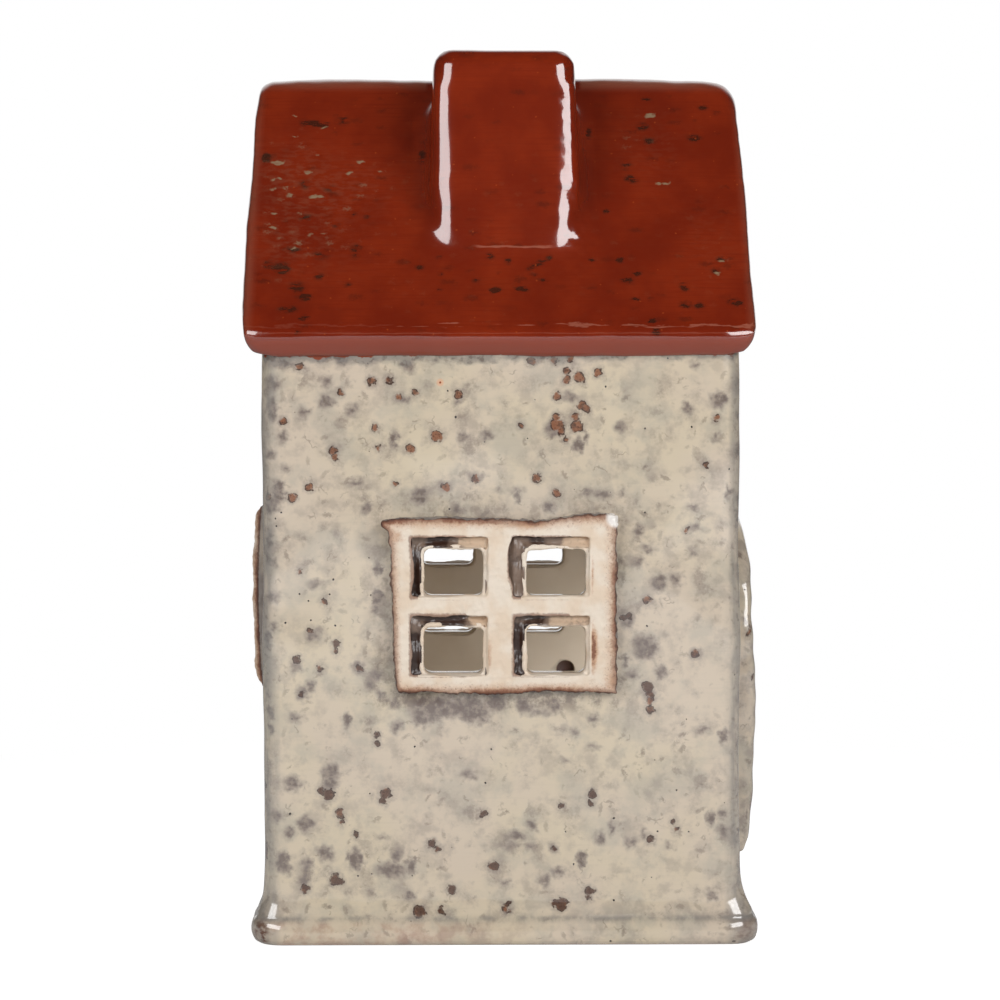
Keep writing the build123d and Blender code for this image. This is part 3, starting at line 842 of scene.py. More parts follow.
def bareClay():
    # white clay wiped clean of glaze and fired matt, scorched brown along the glaze line
    material, tree, place = startMaterial("wiped white clay, scorched at the edges")
    white, sand, rose = "#EDDFCE", "#E4CEB6", "#C69D7E"
    burnt, plum, glaze = "#7E4F3B", "#432C26", "#C0B4A4"
    outer, groove, depth = (attribute(tree, name) for name in ("outerGap", "grooveGap", "depth"))
    rough = grain(tree, place, 0.9, 4.0, seed=1.0, roughness=0.7)
    ragged = swing(tree, rough, 2.0)
    near = calc(tree, "ADD", outer, ragged)
    cloudy = grain(tree, place, 6.0, 3.0, seed=2.0)
    colour = layer(tree, white, sand, ramp(tree, cloudy, 0.4, 0.65, 0.0, 0.8))
    stain = attribute(tree, "stain")
    crumbs = ramp(tree, calc(tree, "ADD", stain, times(tree, ragged, 0.5)), 0.25, 0.9)
    colour = layer(tree, colour, rose, crumbs, 0.9)
    colour = layer(tree, colour, burnt,
                   ramp(tree, calc(tree, "ADD", stain, times(tree, ragged, 0.8)), 0.8, 1.2, 0.0, 0.9))
    uneven = ramp(tree, grain(tree, place, 15.0, 2.0, seed=5.0), 0.4, 0.58, 0.55, 1.0)
    colour = layer(tree, colour, rose, ramp(tree, near, 3.0, 0.5, 0.0, 0.95), uneven)
    freckles = grain(tree, place, 0.45, 4.0, seed=4.0, roughness=0.7)
    freckles = times(tree, ramp(tree, freckles, 0.54, 0.66), ramp(tree, outer, 3.6, 0.6))
    colour = layer(tree, colour, burnt, freckles, 0.6)
    colour = layer(tree, colour, burnt, ramp(tree, near, 1.6, 0.3, 0.0, 0.95), uneven)
    colour = layer(tree, colour, plum,
                   ramp(tree, calc(tree, "ADD", outer, times(tree, ragged, 0.5)), 0.4, 0.05, 0.0, 0.75))
    lip = calc(tree, "ADD", groove, times(tree, ragged, 0.5))
    colour = layer(tree, colour, burnt, ramp(tree, lip, 0.75, 0.2, 0.0, 0.7))
    deeper = calc(tree, "ADD", depth, times(tree, ragged, 0.4))
    colour = layer(tree, colour, plum, ramp(tree, deeper, 0.35, 0.8))
    drawnUp = layer(tree, glaze, "#948C86", ramp(tree, uneven, 0.4, 0.9))
    drawnTo = times(tree, ramp(tree, deeper, 0.4, 0.8, 0.0, 0.9), ramp(tree, outer, 1.2, 0.6))
    colour = layer(tree, colour, drawnUp,
                   calc(tree, "MAXIMUM", drawnTo, ramp(tree, deeper, 1.3, 2.0, 0.0, 0.8)))
    grit = grain(tree, place, 0.35, 3.0, seed=3.0, roughness=0.7)
    glassy = attribute(tree, "glassy")
    normal = addBump(tree, times(tree, grit, calc(tree, "SUBTRACT", 1.0, glassy)), 0.1)
    # painted highlight: the glazed corner is laid near white, and its roughness drops
    colour = layer(tree, colour, "#F2ECE6", glassy)
    roughness = ramp(tree, glassy, 0.2, 0.7, 0.75, 0.12)
    return finishMaterial(material, tree,
                          {"Base Color": colour, "Roughness": roughness, "IOR": 1.5, "Normal": normal})


def innerWash():
    # the thin pale wash poured round the inside, which dries matt, with one dark blot in the dimple of the
    # back wall
    material, tree, place = startMaterial("poured inner wash, matt")
    patchy = grain(tree, place, 18.0, 4.0, seed=1.0)
    colour = layer(tree, "#E8DAC6", "#DECEB7", ramp(tree, patchy, 0.35, 0.7))
    colour = layer(tree, colour, "#4A3026", attribute(tree, "blot"))
    normal = addBump(tree, grain(tree, place, 3.0, 3.0, seed=2.0), 0.05)
    return finishMaterial(material, tree,
                          {"Base Color": colour, "Roughness": 0.6, "IOR": 1.5, "Normal": normal})


def pooledGlaze():
    # glaze that the wiping left in the window's grooves: black-brown and glassy, thinning to grey
    # and dry beige
    material, tree, place = startMaterial("pooled iron glaze, glassy")
    tone = attribute(tree, "tone")
    fine = grain(tree, place, 1.3, 4.0, seed=1.0, roughness=0.6)
    mixed = calc(tree, "ADD", tone, swing(tree, fine, 0.6))
    colour = layer(tree, "#38231A", "#806B5C", ramp(tree, mixed, 0.15, 0.55))
    colour = layer(tree, colour, "#C9AE93", ramp(tree, mixed, 0.6, 0.85))
    roughness = ramp(tree, mixed, 0.5, 0.85, 0.32, 0.7)
    normal = addBump(tree, fine, 0.015)
    return finishMaterial(material, tree, {
        "Base Color": colour, "Roughness": roughness, "IOR": 1.6, "Coat Weight": 0.15,
        "Coat Roughness": 0.15, "Normal": normal,
    })


def groundFoot():
    # the foot's underside, left bare so that it doesn't stick in the kiln, and ground flat
    material, tree, place = startMaterial("bare foot, ground flat")
    sandy = grain(tree, place, 1.2, 4.0, seed=1.0, roughness=0.7)
    colour = layer(tree, "#D9C2A6", "#B8987A", ramp(tree, sandy, 0.4, 0.7))
    normal = addBump(tree, sandy, 0.05)
    return finishMaterial(material, tree,
                          {"Base Color": colour, "Roughness": 0.85, "IOR": 1.45, "Normal": normal})


creamMaterial = creamGlaze()
redMaterial = redGlaze()
clayMaterial = bareClay()
innerMaterial = innerWash()
poolMaterial = pooledGlaze()
footMaterial = groundFoot()
print("glazes and clay are mixed")


# Walls and base: one shell with a spread foot, cut by the roof's underside, its panes and the doorway

house = {
    "spacing": 1.25,
    "corner": 4.0,
    "thickness": 4.5,
    "floorTop": 8.0,
    "innerCorner": 2.5,
    "innerSpacing": 2.6,
    "innerHand": ((26, 0.2), (8, 0.08)),
    "floorCove": (1.6, 2.4),  # how far the inside is drawn in at the floor, and how high that runs up
    "footLevels": (0, 0.2, 0.5, 0.9, 1.4, 2, 2.7, 3.5, 4.2, 4.8, 5.3, 5.7, 6, 6.3, 6.7, 7.2, 7.8, 8.6, 9.5,
                   10.5, 11.6, 12.7, 13.8),
    "footHand": (6, 0.07, 6, 4),  # swell length and reach, and at what height and over how much of it
    "footHeight": 3.2,  # where the foot is fullest
    "footReach": (2.6, 2.2, 3.7),  # how far it stands out, on the left, in front and behind, and on the right
    "footRise": (4.6, 3.7, 6.2),  # how high the spread runs up the wall there
    "footTuck": 3.2,  # how far its underside is drawn in
    "crease": (6.0, 0.6, 0.3),  # height, reach and depth of the line where walls and base were luted
    "spread": 1.2,  # the right side leans out towards the foot
    "hand": ((30, 0.16), (9, 0.03), (3.2, 0.008)),
    "bedding": 0.3,  # the walls stand this far into the roof
}

panes = {
    "width": 12.6,
    "height": 10.1,
    "corner": 1.7,
    "edge": 0.9,
    "shortened": 1.9,  # the back's lower panes are this much less tall, at the top
}

doorway = {
    "halfWidth": 21.8,
    "spring": 64.6,
    "sill": 17.0,
    "edge": 1.4,
}

dimple = {
    "across": 16.8,
    "height": 49.4,
    "radius": 2.1,
    "press": ((-1, 2.5), (0, 2.4), (0.3, 2.1), (1.2, 1.95), (1.6, 1.2)),  # depth and radius
}


def footOutstand(height, facingX, house):
    reach = np.interp(facingX, (-1, -0.2, 0.2, 1), np.take(house["footReach"], (0, 1, 1, 2)))
    rise = np.interp(facingX, (-1, -0.2, 0.2, 1), np.take(house["footRise"], (0, 1, 1, 2)))
    above = height - house["footHeight"]
    level, width, depth = house["crease"]
    if above > 0:
        return reach * np.exp(-(above / rise) ** 2) - depth * math.exp(-((height - level) / width) ** 2)
    return reach - house["footTuck"] * (1 - (1 - abs(above / house["footHeight"]) ** 3) ** 0.4)


def makeShell(house):
    ring, facing = roundedRing(halfLength, halfDepth, house["corner"], house["spacing"])
    swell, reach, middle, run = house["footHand"]
    rings = []
    for height in house["footLevels"] + tuple(np.arange(15, apex + 5, house["spacing"])):
        flat = ring + facing * footOutstand(height, facing[:, 0], house)[:, None]
        flat[:, 0] += house["spread"] * max(0.0, 1 - height / wallTop) * step(flat[:, 0], 0, halfLength)
        points = atHeight(flat, height)
        footHand = waves(points, swell, 17) * reach * math.exp(-((height - middle) / run) ** 2)
        stray = (handWork(points, house["hand"], 11) + footHand) * min(1, height / 3)
        points[:, :2] += facing * stray[:, None]
        rings.append(points)
    return newPiece("clay_walls", *skin(rings))


def makeCavity(house):
    spacing, (inset, rise) = house["innerSpacing"], house["floorCove"]
    ring, facing = roundedRing(halfLength - house["thickness"], innerDepth, house["innerCorner"], spacing)
    rings = []
    for height in [0, 0.3, 0.9, 1.6, 2.4] + list(np.arange(5, apex + 8, spacing)):
        drawnIn = inset * (1 - math.sqrt(1 - max(0, 1 - height / rise) ** 2))
        points = atHeight(ring - facing * drawnIn, house["floorTop"] + height)
        points[:, :2] += facing * handWork(points, house["innerHand"], 23)[:, None]
        rings.append(points)
    return newPiece("cavity", *skin(rings))


def flaredCutter(outline, thickness, edge):
    # rings of a cutter through a wall: outline(extra) gives points across and up, wider at both faces
    turns = [k / 4 * math.pi / 2 for k in range(5)]
    near = [(edge * (1 - math.cos(a)), edge * (1 - math.sin(a))) for a in turns]
    far = [(thickness - deep, extra) for deep, extra in reversed(near)]
    stops = [(-3.0, edge)] + near + far + [(thickness + 3.0, edge)]
    return [atHeight(outline(extra), -deep) for deep, extra in stops]


def onWall(points, wall):
    # across, up and out from a wall's outer face become x, y and z
    across, up, out = np.asarray(points).T
    if wall == "front":
        return np.column_stack((across, -halfDepth - out, up))
    if wall == "back":
        return np.column_stack((-across, halfDepth + out, up))
    if wall == "gable":
        return np.column_stack((-halfLength - out, -across, up))
    return np.column_stack((halfLength + out, across, up))  # the doorway's gable


def archOutline(radius, spring, foot, spacing):
    points = [(radius, z) for z in np.arange(foot, spring, spacing)]
    turns = round(math.pi * radius / spacing)
    points += [(radius * math.cos(a), spring + radius * math.sin(a)) for a in np.linspace(0, math.pi, turns)]
    points += [(-radius, z) for z in np.arange(foot, spring, spacing)[::-1]]
    across = np.arange(-radius, radius, spacing)[1:]
    return np.array(points + [(x, foot) for x in across])


def openWalls(shell, house, panes, doorway, dimple):
    parts = []
    for wall in ("front", "back", "gable"):
        centres = paneCentres(wall)
        for across, up in centres:
            short = panes["shortened"] if wall == "back" and up < max(c[1] for c in centres) - 1 else 0

            def outline(extra):
                half = panes["width"] / 2 + extra, (panes["height"] - short) / 2 + extra
                return roundedRing(*half, panes["corner"] + extra, 1.0)[0] + (across, up - short / 2)
            rings = flaredCutter(outline, house["thickness"], panes["edge"])
            parts.append(skin([onWall(r, wall) for r in rings]))

    def arch(extra):
        return archOutline(doorway["halfWidth"] + extra, doorway["spring"], doorway["sill"] - extra, 1.5)
    count = min(len(arch(0)), len(arch(doorway["edge"])))
    rings = flaredCutter(lambda extra: resample(arch(extra), count), house["thickness"], doorway["edge"])
    parts.append(skin([onWall(r, "doorway") for r in rings]))
    turns = np.linspace(0, 2 * math.pi, 25)[:-1]
    press = []
    for deep, radius in dimple["press"]:
        across, up = dimple["across"] + radius * np.cos(turns), dimple["height"] + radius * np.sin(turns)
        press.append(np.column_stack((across, np.full(len(turns), innerDepth + deep), up)))
    parts.append(skin(press))
    combine(shell, newSolid("openings", *gather(parts)))


def resample(outline, count):
    # the same closed outline with this many evenly spaced points, from its first one
    closed = np.vstack((outline, outline[:1]))
    run = np.concatenate(([0], np.cumsum(np.linalg.norm(np.diff(closed, axis=0), axis=1))))
    marks = np.linspace(0, run[-1], count + 1)[:-1]
    return np.column_stack([np.interp(marks, run, closed[:, k]) for k in range(2)])


def wayRound(x, y, house):
    # how far round the walls a place is, from the middle of the front
    r = house["corner"]
    cx, cy = halfLength - r, halfDepth - r
    arc = math.pi / 2 * r
    turn = np.arctan2(np.maximum(np.abs(x) - cx, 0), np.maximum(np.abs(y) - cy, 0)) * r
    quarter = np.minimum(np.abs(x), cx) + turn
    onSide = np.abs(x) > cx
    front = np.where(onSide & (np.abs(y) < cy), cx + arc + (y + cy), quarter)
    behind = cx + arc + 2 * cy + arc + (cx - np.minimum(np.abs(x), cx)) - turn
    behind = np.where(onSide & (np.abs(y) < cy), front, behind)
    return np.sign(x) * np.where(y < 0, front, behind)


def paintWalls(shell):
    # bands: the glaze breaks on the upright corners; painted shade under the eaves and along the luted
    # crease; darker round the windows and the doorway, most below the windows
    points = readPoints(shell)
    x, y, z = points.T
    onGable = np.abs(x) > halfLength - 0.8
    along = np.where(onGable, np.abs(y) - halfDepth, np.abs(x) - halfLength)
    band = step(along, np.where(x > 0, -2.6, -4.4), np.where(x > 0, -0.9, -1.4))
    writeValues(shell, cornerBand=np.clip(band, 0, 1))
    # the distance below the roof sets both the red glaze's edge and the painted shade under the overhang
    under = (apex - pitchRise * np.abs(y) - z) * math.cos(pitch)
    level = eaveLow - z - 0.2 - 0.8 * step(-x, 0, 45) * (y < 0)  # the joint runs lower towards the left
    writeValues(shell, eaveGap=np.where(onGable, under, level))
    drawn = (y < 1 - halfDepth) * (1 - step(np.abs(x), halfLength - 1, halfLength))
    writeValues(shell, drawn=drawn)
    low = 1 - step(z, 4.4, 6.2)
    writeValues(shell, rosy=low * (0.4 + drawn * (step(-x, -14, 22) - 0.4)))
    writeValues(shell, rusty=step(along, -2.5, 1.5) * (1 - step(z, 3.5, 7.5)) * np.where(x < 0, 1.4, 0.5))
    # where the painted shade of the crease runs
    writeValues(shell, crease=np.exp(-((z - house["crease"][0]) / 0.6) ** 2))
    middle, half = (windowLow + windowHigh) / 2, (windowHigh - windowLow) / 2
    window = boxGap(np.where(onGable, y, x) - middle[0], z - middle[2], half[0], half[2])
    door = np.where(z > doorway["spring"], np.hypot(y, z - doorway["spring"]), np.abs(y)) - doorHigh[1]
    gap = np.where(onGable & (x > 0), door, window)
    below = step(windowLow[2] - z, -6, 3)
    writeValues(shell, halo=(1 - step(gap, 1.0, 5.5)) * (0.55 + 0.45 * below))
    spot = np.hypot(x - dimple["across"], z - dimple["height"]) - dimple["radius"]
    writeValues(shell, blot=(1 - step(spot, -0.2, 0.4)) * (y > innerDepth - 1))
    lap = 4 * (halfLength + halfDepth - 2 * house["corner"]) + 2 * math.pi * house["corner"]
    writeMap(shell, np.column_stack((wayRound(x, y, house), z)), lap)


shell = makeShell(house)
for side in (-1, 1):
    facing = (0, side * math.sin(pitch), math.cos(pitch))
    sliceOff(shell, (0, 0, apex + house["bedding"]), facing)
turnOutwards(shell)
combine(shell, makeCavity(house))
openWalls(shell, house, panes, doorway, dimple)
dress(shell, creamMaterial, innerMaterial, footMaterial)
for face in shell.data.polygons:
    x, y, z = face.center
    within = abs(x) < halfLength - house["thickness"] + 1 and abs(y) < innerDepth + 2
    face.material_index = 1 if within and z > house["floorTop"] - 0.6 else 2 if z < 0.3 else 0
paintWalls(shell)
handOver(shell, "house",
         ["base", "wall_front", "wall_back", "gable_window_wall", "gable_doorway_wall"], 40)


# Roof: one bent slab and a hollow chimney, luted together

roof = {
    "spacing": 1.2,
    "drop": 8.347,  # upright thickness of a slab 5 mm thick
    "eaveDepth": 45.4,
    "ridgeRadius": 7.5,
    "eaveRadius": 2.1,
    "lipDrop": 2.0,  # the lip's face is this tall, and its underside runs back in to the wall
    "lipInset": 0.9,
    "lipRadius": 1.0,
    "eaveTuck": (5.2, 6.5, 8, 4.4),  # the eaves' ends: height, run down and reach along, and how far drawn in
    "joint": eaveLow - 1.3,
    "edgeRounds": 16,  # how worn the gable edges are
    "ridgeEnds": ((3.4, 2.0), (8.5, 4.4)),  # reach along and drop of the worn ridge ends, left and right
    "spread": ((0.3, 1.0), (-0.4, 0.5)),  # each end's extra length, at the ridge and at the eaves
    "ridgeLift": 2.05,
    "cove": 1.2,  # the luting's reach down the gable wall under the roof
    "voxel": 0.8,
    "hand": ((24, 0.16), (7, 0.025), (3, 0.006)),
}

wear = {
    # where dark slip and tan body show through the red: side, height, reach across and up, strength
    "scuffed": ((-41.2, 177.2, 2.8, 0.7, 1.1), (-38.6, 176.8, 0.9, 0.6, 1.2), (-34.4, 178, 2.2, 1.4, 0.6),
                (-51.1, 169.1, 0.9, 1.2, 1.4), (-16.8, 169.9, 1, 1, 0.9), (-42.4, 163.2, 1.4, 1.2, 0.8),
                (-37, 162.2, 1.5, 1, 0.6), (-41.8, 155.7, 1.5, 0.7, 0.9), (-35.2, 154, 1.2, 0.8, 0.6),
                (-31.4, 156.6, 0.8, 0.8, 0.7), (-28.7, 155.9, 0.8, 1.1, 0.6), (-30.8, 148.2, 1.3, 1.7, 0.8),
                (-38.6, 147.3, 2.4, 1, 0.7), (-46.6, 144.5, 2, 1.4, 1.1), (-38.6, 142.7, 1.3, 0.8, 0.9),
                (-43.2, 140.4, 1.9, 1.3, 0.8), (-41, 138.3, 2, 0.8, 1), (-44.8, 135.8, 2.4, 0.9, 0.8),
                (-41.3, 133.9, 1.1, 0.6, 1.4), (-42.6, 130.7, 0.8, 0.5, 1.1), (-17.2, 144.7, 1.1, 1, 0.7),
                (-32.3, 140.9, 1.2, 0.8, 0.6), (-43.9, 148.5, 1.5, 0.6, 0.9), (-49.6, 145.4, 0.8, 1, 0.8),
                (-2.2, 147.1, 1.1, 0.7, 1), (1.8, 146.1, 0.9, 0.8, 0.9), (6.5, 144.6, 1.3, 0.7, 0.8),
                (8.6, 145.7, 1.2, 0.7, 0.8), (10.5, 146.8, 0.8, 0.6, 1), (7.2, 142.9, 1.2, 0.7, 0.7),
                (-0.1, 143.3, 0.8, 0.6, 0.5), (-1, 139.8, 1.3, 0.7, 1.1), (4.4, 140, 1.7, 0.6, 1.1),
                (-5.3, 142, 1.4, 0.6, 0.6), (9.4, 141.8, 1.1, 0.7, 0.8), (-12.9, 146.9, 0.8, 0.6, 0.6),
                (-12.7, 143.3, 0.9, 0.7, 0.6), (-12.9, 139.8, 0.8, 0.5, 0.6), (31.9, 176.5, 1.6, 1, 0.9),
                (33, 173.2, 1.4, 0.9, 0.8), (33, 183, 1.2, 0.7, 0.7), (43.4, 173.9, 1.6, 0.8, 1),
                (45.7, 181.1, 1.2, 0.7, 0.8), (48.6, 179.9, 1, 0.7, 0.7), (43.8, 177.9, 1, 0.6, 0.6),
                (28, 167.4, 1.4, 1.2, 0.7), (29, 164.4, 1.6, 0.9, 1.1), (23.1, 157.2, 0.8, 0.6, 0.9),
                (20, 174.9, 0.8, 1.3, 1), (19.6, 146.2, 0.8, 0.6, 1), (25.7, 146.4, 1.2, 0.8, 0.7),
                (29.3, 143.5, 1, 0.6, 1), (26.9, 141.9, 1.3, 0.6, 1.1), (39.2, 140.6, 1.2, 1.1, 1),
                (46.1, 144, 1, 1, 0.9), (47.3, 146.5, 1.2, 0.7, 0.8), (49.9, 137.2, 1.7, 0.8, 1.2),
                (42.1, 136.5, 0.9, 0.6, 1.4), (39.1, 136.4, 1.2, 0.5, 1.2), (32, 137.9, 0.8, 0.5, 0.8),
                (28.5, 137.8, 1.2, 0.5, 0.9), (31.9, 133.2, 0.9, 0.7, 1), (32.7, 130.9, 1, 0.9, 1)),
    "rubbed": ((-46, 165, 7, 7, 1.0), (-40, 160, 8, 7, 0.8), (-46, 152, 5, 7, 0.6), (-30, 163, 8, 6, 0.4),
               (-42, 148, 9, 5, 0.5), (33, 172, 7, 7, 0.4), (46, 150, 5, 8, 0.3), (0, 150, 60, 25, 0.1)),
}


chimney = {
    "middle": (1.0, -20.0),
    "half": (15.1, 10.8),
    "corner": 4.2,
    "rim": 3.9,
    "drafts": (2.4, 2.9),  # degrees, left and right
    "flue": (9.9, 5.6),
    "flueCorner": 1.6,
    "flueStops": ((-2.0, 0), (-1.3, 0.15), (-0.7, 0.5), (-0.25, 1.0), (3, 4.5)),  # height over the top, flare
    "root": 2.6,  # how deep it stands in the slab
    "filletReach": 4.2,
    "filletRounds": 110,
    "pinch": (0.5, 1.9, 164.0, 183.0),  # of the front corners: how far, over what reach, between heights
    "pinchShares": (1.5, 0.9),  # right and left
    "nicks": (0.045, 2.2, 3),  # depth, length and reach of the right front corner's nicks
    "flare": (149.5, 1.0, 4.5),  # in front its foot spreads: lowest height, reach and how high it runs up
    "lift": 0.5,
}


def makeRoofSlab(roof):
    deep, lip, under, inset = (roof[name] for name in ("eaveDepth", "lipDrop", "joint", "lipInset"))
    top = apex + roof["drop"]
    eaveTop = top - deep * pitchRise
    corners = [(-halfDepth, under), (0, apex), (halfDepth, under), (deep - inset, eaveTop - lip),
               (deep, eaveTop), (0, top), (-deep, eaveTop), (inset - deep, eaveTop - lip)]
    small, edge = roof["lipRadius"], roof["eaveRadius"]
    outline = roundedOutline(corners, [0, 0, 0, small, edge, roof["ridgeRadius"], edge, small],
                             roof["spacing"])
    return skin([np.column_stack((np.full(len(outline), x), outline))
                 for x in np.linspace(-roofHalf, roofHalf, round(2 * roofHalf / roof["spacing"]))])


def wearRoof(points, roof):
    # spread and worn ends, and drawn-in eave corners
    x, z = points[:, 0].copy(), points[:, 2].copy()
    down = np.clip((ridgeTop - z) / (ridgeTop - eaveLow), 0, 1)
    for side, (atRidge, atEaves) in zip((-1, 1), roof["spread"]):
        points[:, 0] += side * (atRidge + (atEaves - atRidge) * down) * step(side * x, 20, roofHalf)
    points[:, 2] += roof["ridgeLift"] * (1 - down) ** 2
    for side, (reach, drop) in zip((-1, 1), roof["ridgeEnds"]):
        along = np.clip((side * x - (roofHalf - reach)) / reach, 0, 1)
        high = step(z, ridgeTop - 16, ridgeTop - 1)
        points[:, 2] -= drop * (1 - np.sqrt(1 - along ** 2)) * high
    above, run, reach, depth = roof["eaveTuck"]
    tuck = np.clip((eaveLow + above - z) / run, 0, 0.985)
    outer = step(np.abs(x), roofHalf - reach, roofHalf)
    points[:, 0] -= np.sign(x) * outer * depth * (1 - np.sqrt(1 - tuck ** 2))
    return points


def makeCoves(roof):
    # the slip that fills the corner between each gable wall and the roof over it
    parts, rise = [], np.array((math.sin(pitch), math.cos(pitch)))
    path = [(y, apex - pitchRise * abs(y)) for y in np.linspace(1 - halfDepth, halfDepth - 1, 61)]
    for side in (-1, 1):
        rings = []
        for y, z in path:
            out = rise * (np.sign(y), 1) if y else np.array((0, 1 / math.cos(pitch)))
            low = roof["cove"] * min(1, (halfDepth - abs(y)) / 5)
            section = ((halfLength - 1, 1.2), (roofHalf - 1.6, 1.2), (roofHalf - 2.2, -0.1),
                       (halfLength + 0.5, -low), (halfLength - 1, -low))
            rings.append(np.array([(side * a, y + out[0] * b, z + out[1] * b) for a, b in section]))
        parts.append(skin(rings))
    return newSolid("coves", *gather(parts))


def makeChimney(roof, chimney):
    ring, facing = roundedRing(*chimney["half"], chimney["corner"], 1.0)
    top, rim = chimneyHigh[2] + chimney["lift"], chimney["rim"]
    rings = [(height, 0.0) for height in np.arange(chimneyLow[2] - 6, top - rim, 1.2)]
    for k in range(9):
        angle = k / 8 * math.pi / 2
        rings.append((top - rim * (1 - math.sin(angle)), rim * (1 - math.cos(angle))))
    left, right = chimney["drafts"]
    slant = np.tan(np.radians(left + (facing[:, 0] + 1) / 2 * (right - left)))
    foot, reach, rise = chimney["flare"]
    solid = []
    for height, inset in rings:
        out = (top - height) * slant - inset + reach * math.exp(-max(0.0, height - foot) / rise)
        solid.append(atHeight(ring + facing * out[:, None] + chimney["middle"], height))
    block = newPiece("chimney_block", *skin(solid))
    sliceOff(block, (0, 0, apex + roof["drop"] - chimney["root"]), (0, math.sin(pitch), -math.cos(pitch)))
    turnOutwards(block)
    return block


def roofByHand(slab, roof, chimney):
    # slip fills the corner at the chimney's foot, its front corners are pinched, and the whole skin wavers
    x, y, z = readPoints(slab).T
    (cx, cy), (halfX, halfY) = chimney["middle"], chimney["half"]
    slant = math.tan(math.radians(chimney["drafts"][1]))
    lean = (chimneyHigh[2] - z) * slant
    side = boxGap(x - cx, y - cy, halfX + lean, halfY + lean)
    joint = np.hypot((apex + roof["drop"] - pitchRise * np.abs(y) - z) * math.cos(pitch), side)
    soften(slab, 1 - step(joint / chimney["filletReach"], 0.35, 1.0), chimney["filletRounds"])
    points, normals = readPoints(slab), readNormals(slab)
    x, y, z = points.T
    lean = (chimneyHigh[2] - z) * slant - 1.2
    fromCorner = np.hypot(np.abs(x - cx) - halfX - lean, y - cy + halfY + lean)
    push, width, lower, upper = chimney["pinch"]
    between = step(z, lower - 8, lower) * (1 - step(z, upper, upper + 3))
    pinch = push * np.exp(-(fromCorner / width) ** 2) * between
    depth, length, reach = chimney["nicks"]
    nicks = depth * waves(points, length, 47) * np.exp(-(fromCorner / reach) ** 2)
    stray = handWork(points, roof["hand"], 41) * (1 - 0.6 * (1 - step(side, 0, 4)))
    stray += pinch * np.where(x > cx, *chimney["pinchShares"]) + nicks * (x > cx)
    writePoints(slab, points + normals * stray[:, None])


def paintRoof(slab, roof, wear, chimney):
    points, normals = readPoints(slab), readNormals(slab)
    x, y, z = points.T
    across = np.where(np.abs(normals[:, 0]) > 0.8, y + 400 * np.sign(x), x + 200 * (y > 0))
    writeMap(slab, np.column_stack((across, z / math.sin(pitch))))
    under = np.maximum(-normals[:, 2], 0) * (z < eaveLow + 4)
    # lighter on the ridge's curve as a painted reflection, and half as much along the gable edges; not near
    # the chimney
    worn = step(z, ridgeTop - 3.4, ridgeTop - 0.4) + 0.5 * step(np.abs(x), roofHalf - 2.5, roofHalf)
    writeValues(slab, lip=step(under, 0.1, 0.4),
                thinned=np.clip(worn, 0, 1) * (np.abs(x - chimney["middle"][0]) > 17),
                overWall=np.where((np.abs(y) < halfDepth + 1.5) & (under > 0.1), z - roof["joint"], 9))
    x = np.where(y < 0, x, -x)  # the back is worn in the same places, the other way round
    writeValues(slab, **{name: np.clip(softSpots(x, z, spots), 0, 1) for name, spots in wear.items()})


def makeRoof(roof, wear, chimney):
    points, faces = makeRoofSlab(roof)
    slab = newSolid("clay_roof", wearRoof(points, roof), faces)
    block, coves = makeChimney(roof, chimney), makeCoves(roof)
    shape = bmesh.new()
    for piece in (slab, block, coves):
        shape.from_mesh(piece.data)
    shape.to_mesh(slab.data)
    shape.free()
    for piece in (block, coves):
        bpy.data.objects.remove(piece)
    fuse(slab, roof["voxel"], 2)
    points = readPoints(slab)
    side, height = np.abs(points[:, 0]), points[:, 2]
    corners = step(side, roofHalf - 7, roofHalf - 3) * (1 - step(height, eaveLow + 4, eaveLow + 8))
    for weight in (step(side, roofHalf - 3.5, roofHalf - 1.5), corners):
        soften(slab, weight, roof["edgeRounds"])
    roofByHand(slab, roof, chimney)
    ring, facing = roundedRing(*chimney["flue"], chimney["flueCorner"], 1.0)
    stops = [(apex - 60, 0)] + [(chimneyHigh[2] + up, extra) for up, extra in chimney["flueStops"]]
    rings = [atHeight(ring + facing * extra + chimney["middle"], height) for height, extra in stops]
    combine(slab, newPiece("flue", *skin(rings)))
    paintRoof(slab, roof, wear, chimney)
    return slab


roofPiece = makeRoof(roof, wear, chimney)
dress(roofPiece, redMaterial)
handOver(roofPiece, "house", ["roof_slab_front", "roof_slab_back", "chimney"], 40)


# Shapes grown from node trees

def growPiece(name, tree, values):
    # runs a node tree with these inputs and keeps the mesh that it makes
    piece = newPiece(name)
    modifier = piece.modifiers.new("grow", "NODES")
    modifier.node_group = tree
    for socket in tree.interface.items_tree:
        if socket.name in values:
            modifier[socket.identifier] = values[socket.name]
    settle(piece)
    dress(piece, values["Material"])
    return piece


def startTree(name, numbers):
    # a tree with named inputs, one a material
    tree = bpy.data.node_groups.new(name, "GeometryNodeTree")
    tree.interface.new_socket("Geometry", in_out="OUTPUT", socket_type="NodeSocketGeometry")
    for label, value in numbers.items():
        kind = "NodeSocketInt" if isinstance(value, int) else "NodeSocketFloat"
        tree.interface.new_socket(label, in_out="INPUT", socket_type=kind).default_value = value
    tree.interface.new_socket("Material", in_out="INPUT", socket_type="NodeSocketMaterial")
    return tree, addNode(tree, "NodeGroupInput").outputs


def endTree(tree, parts, material):
    joined = addNode(tree, "GeometryNodeJoinGeometry", {}, {0: parts})
    real = addNode(tree, "GeometryNodeRealizeInstances", {}, {0: joined.outputs[0]})
    coloured = addNode(tree, "GeometryNodeSetMaterial", {},
                       {"Geometry": real.outputs[0], "Material": material})
    addNode(tree, "NodeGroupOutput", {}, {0: coloured.outputs[0]})


def vector(tree, x=0.0, y=0.0, z=0.0):
    return addNode(tree, "ShaderNodeCombineXYZ", {}, {0: x, 1: y, 2: z}).outputs[0]


# Windows: a raised frame of bare clay round four lights, a thin rim round each pane

